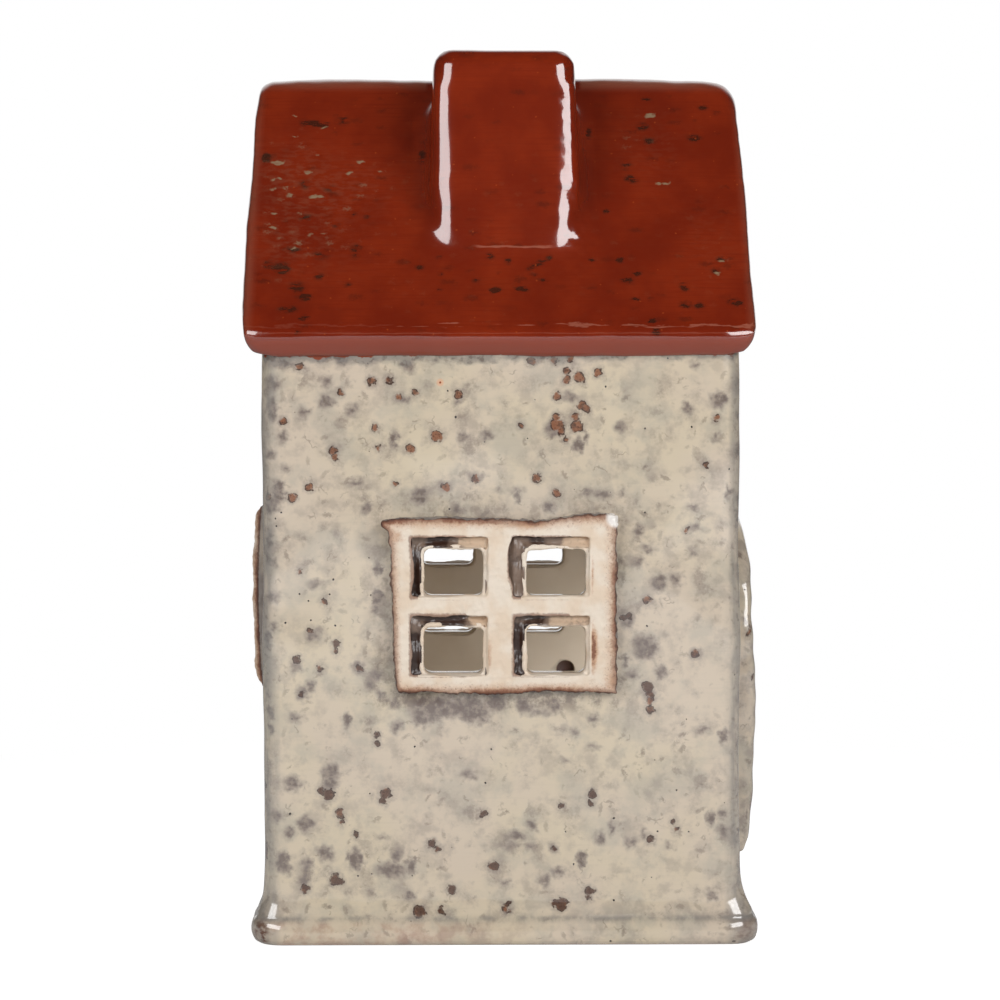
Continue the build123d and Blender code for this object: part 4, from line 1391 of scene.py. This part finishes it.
windowFrame = {
    "Stile Pitch": 21.6,
    "Stile Width": 5.6,
    "Rail Pitch": 16.85,
    "Rail Height": 4.3,
    "Relief": 3.2,
    "Sink": 0.8,  # how far it is pressed into the wall
    "Light Pitch Across": 21.8,
    "Light Pitch Up": 16.5,
    "Pane Width": 12.6,
    "Pane Height": 10.1,
    "Pane Corner": 1.7,
    "Pane Shift": 0.95,  # the panes are cut to the right of their lights' centres
    "Pane Drop": 1.25,  # and below them
    "Rim Wall": 0.8,
    "Rim Relief": 2.3,
}

windowHand = {
    "voxel": 0.32,
    "edgeReach": (5.4, 4.2),  # how far in from the outer edge the hand's cut is felt, across and up
    "torn": ((2.2, 0.1), (0.9, 0.06)),
    "rough": ((6, 0.1), (1.4, 0.05)),
}

windows = {
    "front": {
        "node": "window_surround_front",
        "seed": 51,
        "ragged": 1.0,  # how torn the outer edge is
        # where the hand-cut outer edge really runs: height and side, or side and height
        "left": ((54.4, -22.0), (60, -22.5), (73, -22.9), (85, -23.3), (89, -23.9), (91.4, -25.1)),
        "right": ((54.5, 24.7), (73, 24.5), (92.4, 24.7)),
        "top": ((-25, 91.0), (-21, 91.7), (-13, 91.9), (5, 91.3), (7, 90.9), (18, 92.6), (24.6, 92.5)),
        "bottom": ((-22, 54.9), (-13, 54.5), (3, 54.4), (8, 54.9), (24.7, 54.5)),
        # dents in the lights' edges: side, height, push across, push up, reach across and up
        "nudges": ((2.8, 82.0, -1.1, 0, 1.6, 4.5), (-18.8, 80.5, 0.4, 0, 1.5, 4)),
        # crumbly brown places: side, height, reach across and up, strength
        "stains": ((5.5, 90.5, 6, 1.6, 0.75), (19.6, 64, 1.1, 5.5, 1.25), (-2.4, 63, 0.9, 5, 0.7),
                   (23, 90.5, 2, 2, 0.6), (23.5, 57, 2, 2.5, 0.7), (-22, 88, 2.5, 2.5, 0.6),
                   (19.4, 80, 0.5, 5, 0.7), (-10, 87.6, 8, 0.7, 0.7)),
        "glassy": (24.2, 91.7, 1.9),  # the corner that glaze still covers, painted with a highlight
    },
    "back": {
        "node": "window_surround_back",
        "seed": 62,
        "ragged": 0.8,
        "left": ((54, -23.8), (73, -23.4), (92, -24.6)),
        "right": ((54, 24.2), (70, 23.7), (92, 24.6)),
        "top": ((-24, 91.6), (0, 92.1), (24, 91.4)),
        "bottom": ((-24, 54.4), (5, 54.0), (24, 54.8)),
        "nudges": ((-2.8, 82.0, 0.7, 0, 1.6, 4.0),),
        "stains": ((-6, 89.8, 7, 1.3, 0.6), (20, 80, 1, 4, 0.8), (-22, 57, 3, 2, 0.6)),
        "glassy": (0, 0, 0.5),
    },
    "gable": {
        "node": "window_surround_gable",
        "seed": 73,
        "ragged": 0.25,
        "left": ((54, -24.4), (73, -23.9), (92, -23.6)),
        "right": ((54, 23.6), (73, 24.0), (92, 24.5)),
        "top": ((-24, 92.2), (0, 91.6), (24, 92.3)),
        "bottom": ((-24, 54.2), (0, 54.6), (24, 54.1)),
        "nudges": ((18.9, 80.5, 0.8, 0, 1.6, 4.0),),
        "stains": ((8, 56, 7, 1.3, 0.6), (-20, 66, 1, 4, 0.8), (22, 89, 3, 2, 0.6)),
        "glassy": (0, 0, 0.5),
        "bow": 0.7,  # the frame follows the gable's swell by this much
    },
}


def windowTree(numbers):
    tree, given = startTree("raised window frame", numbers)

    def bars(pitchName, size, alongX):
        pitchSize = given[pitchName]
        back = times(tree, pitchSize, -1)
        start = vector(tree, x=back) if alongX else vector(tree, y=back)
        gap = vector(tree, x=pitchSize) if alongX else vector(tree, y=pitchSize)
        line = addNode(tree, "GeometryNodeMeshLine", {}, {"Count": 3, "Start Location": start, "Offset": gap})
        bar = addNode(tree, "GeometryNodeMeshCube", {}, {"Size": size})
        return addNode(tree, "GeometryNodeInstanceOnPoints", {},
                       {"Points": line.outputs[0], "Instance": bar.outputs[0]})

    deep = calc(tree, "ADD", given["Relief"], given["Sink"])
    tall = calc(tree, "ADD", times(tree, given["Rail Pitch"], 2), given["Rail Height"])
    wide = calc(tree, "ADD", times(tree, given["Stile Pitch"], 2), given["Stile Width"])
    stiles = bars("Stile Pitch", vector(tree, given["Stile Width"], tall, deep), True)
    rails = bars("Rail Pitch", vector(tree, wide, given["Rail Height"], deep), False)
    bones = addNode(tree, "GeometryNodeJoinGeometry", {}, {0: [stiles.outputs[0], rails.outputs[0]]})
    rise = times(tree, calc(tree, "SUBTRACT", given["Relief"], given["Sink"]), 0.5)
    raised = addNode(tree, "GeometryNodeTransform", {},
                     {"Geometry": bones.outputs[0], "Translation": vector(tree, z=rise)})

    path = addNode(tree, "GeometryNodeCurvePrimitiveQuadrilateral", {}, {
        "Width": calc(tree, "ADD", given["Pane Width"], given["Rim Wall"]),
        "Height": calc(tree, "ADD", given["Pane Height"], given["Rim Wall"]),
    })
    turned = addNode(tree, "GeometryNodeFilletCurve", {"mode": "POLY"}, {
        "Curve": path.outputs[0], "Radius": given["Pane Corner"], "Count": 8,
    })
    upright = addNode(tree, "GeometryNodeSetCurveNormal", {"mode": "Z_UP"}, {"Curve": turned.outputs[0]})
    rimDeep = calc(tree, "ADD", given["Rim Relief"], given["Sink"])
    section = addNode(tree, "GeometryNodeCurvePrimitiveQuadrilateral", {},
                      {"Width": given["Rim Wall"], "Height": rimDeep})
    rim = addNode(tree, "GeometryNodeCurveToMesh", {},
                  {"Curve": upright.outputs[0], "Profile Curve": section.outputs[0]})
    spots = addNode(tree, "GeometryNodeMeshGrid", {}, {
        "Size X": given["Light Pitch Across"], "Size Y": given["Light Pitch Up"], "Vertices X": 2,
        "Vertices Y": 2,
    })
    rims = addNode(tree, "GeometryNodeInstanceOnPoints", {},
                   {"Points": spots.outputs[0], "Instance": rim.outputs[0]})
    rimRise = times(tree, calc(tree, "SUBTRACT", given["Rim Relief"], given["Sink"]), 0.5)
    aside = vector(tree, given["Pane Shift"], times(tree, given["Pane Drop"], -1), rimRise)
    placed = addNode(tree, "GeometryNodeTransform", {}, {"Geometry": rims.outputs[0], "Translation": aside})
    endTree(tree, [raised.outputs[0], placed.outputs[0]], given["Material"])
    return tree


def lightPlace(across, up, numbers):
    # the same place seen from the centre of the nearest light
    return (np.abs(across) - numbers["Light Pitch Across"] / 2) * np.sign(across), \
        (np.abs(up) - numbers["Light Pitch Up"] / 2) * np.sign(up)


def halves(numbers):
    # half sizes, across and up, of the whole frame and of one light in it
    across, up = numbers["Stile Pitch"], numbers["Rail Pitch"]
    wide, tall = numbers["Stile Width"], numbers["Rail Height"]
    return (across + wide / 2, up + tall / 2), ((across - wide) / 2, (up - tall) / 2)


def paneGap(across, up, numbers):
    # how far outside its pane a place is, seen from the centre of its light
    half = numbers["Pane Width"] / 2, numbers["Pane Height"] / 2
    return boxGap(across - numbers["Pane Shift"], up + numbers["Pane Drop"], *half)


def shapeByHand(u, v, facts, middleUp, half, reach):
    # the outer edge and the lights' edges as the hand cut them
    outU, low, high = half[0], middleUp - half[1], middleUp + half[1]
    left = np.interp(v, *zip(*facts["left"])) + outU
    right = np.interp(v, *zip(*facts["right"])) - outU
    top = np.interp(u, *zip(*facts["top"])) - high
    bottom = np.interp(u, *zip(*facts["bottom"])) - low
    movedU = u + left * step(-u, outU - reach[0], outU) + right * step(u, outU - reach[0], outU)
    movedV = v + top * step(v, high - reach[1], high) + bottom * step(-v, -low - reach[1], -low)
    for side, height, acrossPush, upPush, wide, tall in facts["nudges"]:
        pull = np.exp(-((u - side) / wide) ** 2 - ((v - height) / tall) ** 4)
        movedU, movedV = movedU + acrossPush * pull, movedV + upPush * pull
    return movedU, movedV


def makeWindow(wall, facts, tree, numbers, byHand):
    piece = growPiece("window_frame_" + wall, tree, {**numbers, "Material": clayMaterial})
    fuse(piece, byHand["voxel"], 3)
    frameHalf, lightHalf = halves(numbers)
    points = readPoints(piece)
    outer = -boxGap(points[:, 0], points[:, 1], *frameHalf)
    soften(piece, 1 - step(outer, 1.0, 2.2), 9)
    u, v, w = readPoints(piece).T
    fromU, fromV = lightPlace(u, v, numbers)
    light = boxGap(fromU, fromV, *lightHalf)
    onRim = (paneGap(fromU, fromV, numbers) < numbers["Rim Wall"] + 0.25) & (light < 0.3)
    wiped = step(fromU, 3.5, 6.0) * (outer > 2.5)  # no glaze stays on the right of each light
    depth = (numbers["Relief"] - w) * (1 - wiped)
    low, high = (c[2] for c in boxInMm(facts["node"]))
    middleUp = (low + high) / 2
    u, v = shapeByHand(u, v + middleUp, facts, middleUp, frameHalf, byHand["edgeReach"])
    # glassy marks the corner still glazed: smoother, and with a painted highlight
    a, b, reach = facts["glassy"]
    writeValues(piece, outerGap=outer, grooveGap=np.where(onRim, 9, light + 9 * wiped),
                depth=np.where(onRim, 0, depth), stain=np.where(onRim, 0, softSpots(u, v, facts["stains"])),
                glassy=1 - step(np.hypot(u - a, v - b), reach * 0.7, reach * 1.2))
    if "bow" in facts:  # the gable swells here, and the frame with it
        v = v + 0.9 * (step(v - middleUp, 15, 19) - step(middleUp - v, 15, 19))
        fall = facts["bow"] * ((v - middleUp) / 18) ** 2
        w = w * (0.7 + 0.3 * step(outer, 0, 2.2)) + np.where(w > 0, 0.2 - fall, 0)
    points, normals = np.column_stack((u, v, w)), readNormals(piece)
    torn = handWork(points, byHand["torn"], facts["seed"] + 3)
    points += normals * ((1 - step(outer, 0.6, 1.6)) * facts["ragged"] * torn)[:, None]
    rough = handWork(points, byHand["rough"], facts["seed"])[:, None]
    points += normals * rough * step(w, 0.2, 1.5)[:, None]
    writePoints(piece, onWall(points, wall))
    turnOutwards(piece)
    handOver(piece, "house", [facts["node"]], 60)


pool = {
    "level": 1.5,  # above the wall
    "creep": 0.55,  # how far it climbs the groove's sides
    "sink": 0.3,
    "cell": 0.3,
    "hand": ((5, 0.3), (1.3, 0.04)),
    # what the front's grooves hold: side, height, and 0 for black, 0.5 for grey, 1 for dry beige
    "tones": ((-18, 82.5, 0.1), (-18, 78.5, 0.0), (-17.4, 87, 0.5), (-14, 87.2, 0.08), (-11.5, 87.2, 0.15),
              (-10.2, 87, 0.5), (-8, 87.2, 0.85), (-4, 87.2, 0.9), (4.2, 86, 0.5), (3.6, 82.5, 0.4),
              (3.6, 79, 0.58), (8, 87, 0.25), (11, 87, 0.5), (15, 87, 0.85), (-15, 71.3, 0.05),
              (-9, 71.5, 0.08), (-5, 71.3, 0.95), (-18, 69, 0.45), (-18, 65.5, 0.0), (-18, 62, 0.0),
              (3.8, 70.8, 0.35), (3.8, 67.5, 0.05), (3.8, 63.5, 0.0), (7.5, 71.3, 0.2), (12, 71.3, 0.85),
              (17, 71.3, 0.8), (19.2, 66, 0.75), (19.2, 61, 0.8)),
}


def slabOfCells(columns, rows, kept):
    # a flat closed slab of the kept cells of a grid: points with 1 for the top and 0 for the underside
    node = -np.ones((len(columns), len(rows)), int)
    cells = np.argwhere(kept)
    for i, j in cells:
        for a, b in ((i, j), (i + 1, j), (i + 1, j + 1), (i, j + 1)):
            node[a, b] = 0
    used = np.argwhere(node == 0)
    node[used[:, 0], used[:, 1]] = np.arange(len(used))
    flat = np.column_stack((columns[used[:, 0]], rows[used[:, 1]]))
    count, faces, sides = len(flat), [], {}
    for i, j in cells:
        ring = [node[i, j], node[i + 1, j], node[i + 1, j + 1], node[i, j + 1]]
        faces += [tuple(ring), tuple(count + k for k in reversed(ring))]
        for a, b in zip(ring, ring[1:] + ring[:1]):
            sides[(a, b)] = True
    faces += [(b, a, count + a, count + b) for a, b in sides if (b, a) not in sides]
    return np.vstack((atHeight(flat, 1.0), atHeight(flat, 0.0))), faces


def makePool(wall, facts, numbers, pool):
    # the glaze left in the grooves round the four panes of one window
    halfAcross, halfUp = halves(numbers)[1]
    columns = np.arange(-halfAcross - 1.4, halfAcross + 1.4, pool["cell"])
    rows = np.arange(-halfUp - 0.4, halfUp + 0.5, pool["cell"])
    across, up = np.meshgrid((columns[1:] + columns[:-1]) / 2, (rows[1:] + rows[:-1]) / 2, indexing="ij")
    kept = paneGap(across, up, numbers) > numbers["Rim Wall"] * 0.5
    points, faces = slabOfCells(columns, rows, kept)
    x, y, onTop = points.T
    rimGap = np.maximum(paneGap(x, y, numbers) - numbers["Rim Wall"], 0)
    sideGap = np.minimum(np.abs(boxGap(x, y, halfAcross, halfUp)), rimGap)
    low, high = (c[2] for c in boxInMm(facts["node"]))
    parts = []
    for side in (-1, 1):
        for level in (-1, 1):
            u = x + side * numbers["Light Pitch Across"] / 2
            v = y + level * numbers["Light Pitch Up"] / 2 + (low + high) / 2
            top = pool["level"] + handWork(np.column_stack((u, v, 0 * u)), pool["hand"], facts["seed"] + 5)
            top += pool["creep"] * np.exp(-sideGap / 0.4)
            parts.append((np.column_stack((u, v, np.where(onTop > 0.5, top, -pool["sink"]))), faces))
    flat, allFaces = gather(parts)
    piece = newSolid("groove_glaze_" + wall, onWall(flat, wall), allFaces)
    if wall == "front":
        spots = np.array(pool["tones"])
        near = 1 / (np.hypot(flat[:, :1] - spots[:, 0], flat[:, 1:2] - spots[:, 1]) + 0.3) ** 4
        tones = (near * spots[:, 2]).sum(1) / near.sum(1)
    else:
        tones = 0.4 + 0.45 * waves(flat, 9, facts["seed"] + 6)
    writeValues(piece, tone=tones)
    dress(piece, poolMaterial)
    handOver(piece, "house", [], 60)


frameTree = windowTree(windowFrame)
for wall, facts in windows.items():
    makeWindow(wall, facts, frameTree, windowFrame, windowHand)
    makePool(wall, facts, windowFrame, pool)


# Doorway: a glazed band round the arch, fullest below its middle

doorBand = {
    "Radius": 24.6,  # of the band's middle line
    "Spring": 64.6,
    "Foot": 17.0,
    "Band Width": 5.6,
    "Relief": 5.2,
    "Sink": 2.6,
    "Corner": 1.9,
}

bandHand = {
    "voxel": 0.6,
    # how full the band is at each height
    "fullness": ((17, 0.6), (20, 0.8), (26, 0.86), (34, 0.94), (46, 1.02), (58, 0.96), (73, 0.89), (81, 0.83),
                 (88, 0.72), (92, 0.62)),
    "bow": (0.3, 50, 28),  # how far the gable swells under it, at what height, and its reach up and down
    "hand": ((22, 0.15), (7, 0.08)),
}


def bandTree(numbers):
    # two uprights and an arc, each swept with the same rounded section
    tree, given = startTree("arched band", numbers)
    deep = calc(tree, "ADD", given["Relief"], given["Sink"])
    section = addNode(tree, "GeometryNodeCurvePrimitiveQuadrilateral", {},
                      {"Width": given["Band Width"], "Height": deep})
    filleted = addNode(tree, "GeometryNodeFilletCurve", {"mode": "POLY"}, {
        "Curve": section.outputs[0], "Radius": given["Corner"], "Count": 6,
    })
    arc = addNode(tree, "GeometryNodeCurveArc", {}, {
        "Resolution": 72, "Radius": given["Radius"], "Start Angle": 0.0, "Sweep Angle": math.pi,
    })
    raisedArc = addNode(tree, "GeometryNodeTransform", {}, {
        "Geometry": arc.outputs[0], "Translation": vector(tree, y=given["Spring"]),
    })
    paths = [raisedArc.outputs[0]]
    for side in (-1, 1):
        x = times(tree, given["Radius"], side)
        foot = vector(tree, x, given["Foot"])
        head = vector(tree, x, calc(tree, "ADD", given["Spring"], 0.4))
        upright = addNode(tree, "GeometryNodeCurvePrimitiveLine", {}, {"Start": foot, "End": head})
        paths.append(upright.outputs[0])
    line = addNode(tree, "GeometryNodeJoinGeometry", {}, {0: paths})
    level = addNode(tree, "GeometryNodeSetCurveNormal", {"mode": "Z_UP"}, {"Curve": line.outputs[0]})
    swept = addNode(tree, "GeometryNodeCurveToMesh", {}, {
        "Curve": level.outputs[0], "Profile Curve": filleted.outputs[0], "Fill Caps": True,
    })
    rise = times(tree, calc(tree, "SUBTRACT", given["Relief"], given["Sink"]), 0.5)
    placed = addNode(tree, "GeometryNodeTransform", {},
                     {"Geometry": swept.outputs[0], "Translation": vector(tree, z=rise)})
    endTree(tree, [placed.outputs[0]], given["Material"])
    return tree


def makeDoorBand(numbers, byHand):
    band = growPiece("doorway_band", bandTree(numbers), {**numbers, "Material": creamMaterial})
    fuse(band, byHand["voxel"], 6)
    points = readPoints(band)
    _, v, w = points.T
    fullness = np.interp(v, *zip(*byHand["fullness"]))
    points[:, 2] = np.where(w > 0, w * fullness, w)
    swell, middle, reach = byHand["bow"]
    points[:, 2] += swell * np.exp(-((v - middle) / reach) ** 2)
    points += readNormals(band) * handWork(points, byHand["hand"], 83)[:, None]
    writeMap(band, points[:, :2] + np.column_stack((points[:, 2] + 700, 0 * v)))
    writeValues(band, eaveGap=np.full(len(points), 50.0))
    writePoints(band, onWall(points, "doorway"))
    turnOutwards(band)
    handOver(band, "house", ["doorway_surround"], 60)


makeDoorBand(doorBand, bandHand)


# The tealight: a pressed cup, wax, and a wick of twisted strands in its tin foot

tealight = {
    "radius": 19.0,
    "cupWall": 0.25,
    "flutes": 72,
    "fluteDepth": 0.09,
    "rimRoll": 0.45,
    "waxRim": 0.5,  # the wax creeps this far up the cup
    "waxDip": 0.7,  # and has sunk this far round the wick
    "waxHand": ((14, 0.12), (5, 0.04)),
}

wick = {"Strands": 3, "Strand Radius": 0.36, "Coil Radius": 0.42, "Height": 18.6, "Turns": 5.5}

cupLow, cupHigh = boxInMm("tealight_cup")
waxHigh = boxInMm("tealight_wax")[1]
wickLow, wickHigh = boxInMm("tealight_wick")
cupMiddle = (cupLow + cupHigh) / 2


def lathe(profile, around, ripple=None):
    # closed mesh from (radius, height) stops; ripple moves each point in or out
    turns = np.linspace(0, 2 * math.pi, around + 1)[:-1]
    rings = []
    for radius, height in profile:
        reach = radius + (ripple(turns, radius, height) if ripple else np.zeros(around))
        flat = np.column_stack((cupMiddle[0] + reach * np.cos(turns), cupMiddle[1] + reach * np.sin(turns)))
        rings.append(atHeight(flat, height))
    return skin(rings)


def plainMaterial(name, base, other, size, sockets, bumpReach, stretch=(1, 1, 1)):
    material, tree, place = startMaterial(name)
    mottled = grain(tree, place, size, 4.0, stretch, 1.0)
    colour = layer(tree, base, other, ramp(tree, mottled, 0.35, 0.7))
    fine = grain(tree, place, size * 0.2, 3.0, stretch, 2.0)
    normal = addBump(tree, fine, bumpReach)
    roughness = ramp(tree, mottled, 0.2, 0.8, sockets["Roughness"] * 0.8, sockets["Roughness"] * 1.2)
    return finishMaterial(material, tree,
                          {**sockets, "Base Color": colour, "Roughness": roughness, "Normal": normal})


def makeCup(tealight, material):
    radius, foot, top = tealight["radius"], cupLow[2], cupHigh[2]
    thick, roll = tealight["cupWall"], tealight["rimRoll"]
    outside = [(0.5, foot + 0.5), (9, foot + 0.5), (10, foot + 0.1), (11, foot + 0.02), (radius - 2, foot),
               (radius - 0.9, foot + 0.15), (radius - 0.3, foot + 0.7), (radius - 0.05, foot + 1.5)]
    outside += [(radius, h) for h in np.linspace(foot + 2.5, top - 2, 14)]
    rolled = [(radius + 0.05 + roll * math.cos(a) * 0.5, top - roll * (1 - math.sin(a)))
              for a in np.linspace(-1.2, math.pi, 12)]
    inside = [(r - thick, h + (thick if h < foot + 2 else 0)) for r, h in reversed(outside)]

    def flute(turns, r, h):
        strength = tealight["fluteDepth"] * min(1, max(0, (h - foot - 1.5) / 2),
                                                max(0, (top - 1.4 - h) / 1.2))
        return strength * np.cos(turns * tealight["flutes"]) * (r > radius - 1)

    profile = outside + rolled + inside[:-1] + [(0.5, foot + 0.5 + thick)]
    cup = newSolid("cup", *lathe(profile, 432, flute))
    dress(cup, material)
    handOver(cup, "tealight", ["tealight_cup"])


def makeWax(tealight, material):
    foot, rim, dip = cupLow[2], tealight["waxRim"], tealight["waxDip"]
    top, inner = waxHigh[2] - rim, tealight["radius"] - tealight["cupWall"] - 0.02
    below = [(0.5, foot + 0.8), (inner - 2.5, foot + 0.8), (inner - 1, foot + 1.3), (inner, foot + 2.4)]
    creep = [(inner, top + rim)]
    creep += [(inner - d, top + rim * math.exp(-d / 0.5)) for d in (0.15, 0.35, 0.7, 1.2, 2, 3)]
    across = [(r, top - dip * math.exp(-(r / 4.5) ** 2)) for r in np.arange(inner - 4, 0.9, -0.7)]
    body = newSolid("wax", *lathe(below + creep + across + [(0.6, top - dip)], 120))
    dress(body, material)
    points = readPoints(body)
    high = step(points[:, 2], top - 1, top - 0.6)
    points[:, 2] += high * handWork(points, tealight["waxHand"], 91)
    writePoints(body, points)
    handOver(body, "tealight", ["tealight_wax"])


def wickTree(numbers):
    # strands coiled round one another
    tree, given = startTree("twisted wick", numbers)
    ends = {"Start": vector(tree), "End": vector(tree, z=given["Height"])}
    line = addNode(tree, "GeometryNodeCurvePrimitiveLine", {}, ends)
    fine = addNode(tree, "GeometryNodeResampleCurve", {}, {"Curve": line.outputs[0], "Count": 90})
    along = addNode(tree, "GeometryNodeSplineParameter").outputs["Factor"]
    angle, coil = times(tree, along, given["Turns"], 2 * math.pi), given["Coil Radius"]
    across, back = (times(tree, calc(tree, how, angle), coil) for how in ("COSINE", "SINE"))
    sockets = {"Geometry": fine.outputs[0], "Offset": vector(tree, across, back)}
    coiled = addNode(tree, "GeometryNodeSetPosition", {}, sockets)
    ring = addNode(tree, "GeometryNodeCurvePrimitiveCircle", {},
                   {"Resolution": 12, "Radius": given["Strand Radius"]})
    strand = addNode(tree, "GeometryNodeCurveToMesh", {}, {
        "Curve": coiled.outputs[0], "Profile Curve": ring.outputs[0], "Fill Caps": True,
    })
    spots = addNode(tree, "GeometryNodeMeshLine", {}, {"Count": given["Strands"], "Offset": vector(tree)})
    number = addNode(tree, "GeometryNodeInputIndex").outputs[0]
    turned = vector(tree, z=calc(tree, "DIVIDE", times(tree, number, 2 * math.pi), given["Strands"]))
    strands = addNode(tree, "GeometryNodeInstanceOnPoints", {}, {
        "Points": spots.outputs[0], "Instance": strand.outputs[0], "Rotation": turned,
    })
    endTree(tree, [strands.outputs[0]], given["Material"])
    return tree


def makeWick(numbers, material):
    twist = growPiece("wick", wickTree(numbers), {**numbers, "Material": material})
    points = readPoints(twist)
    points[:, 0] += 0.35 * step(points[:, 2], 11, 19)  # it leans a little towards its tip
    writePoints(twist, points + ((wickLow + wickHigh) / 2 * (1, 1, 0) + (0, 0, wickLow[2])))
    turnOutwards(twist)
    handOver(twist, "tealight", ["tealight_wick"], 60)


def makeTealight(tealight, wick):
    makeCup(tealight, plainMaterial("pressed aluminium, rolled sheet", "#C9CBCD", "#B9BBBE", 3.0,
                                    {"Metallic": 1.0, "Roughness": 0.3}, 0.01, (4, 4, 0.4)))
    makeWax(tealight, plainMaterial("paraffin wax, poured", "#F1EBDD", "#E9E1CF", 6.0,
                                    {"Roughness": 0.35, "IOR": 1.44, "Subsurface Weight": 0.6,
                                     "Subsurface Scale": 0.003, "Subsurface Radius": (1.0, 0.8, 0.6)}, 0.02))
    makeWick(wick, plainMaterial("waxed cotton, twisted", "#EFE9DA", "#DCD3BE", 0.6,
                                 {"Roughness": 0.8, "IOR": 1.45}, 0.03))
    tin = plainMaterial("tinned steel, stamped", "#B4B3AF", "#9C9A95", 1.5,
                        {"Metallic": 1.0, "Roughness": 0.35}, 0.01)
    sustainer = frame["nodes"]["wick_sustainer"]
    for slot in sustainer.material_slots:
        slot.material = tin


makeTealight(tealight, wick)
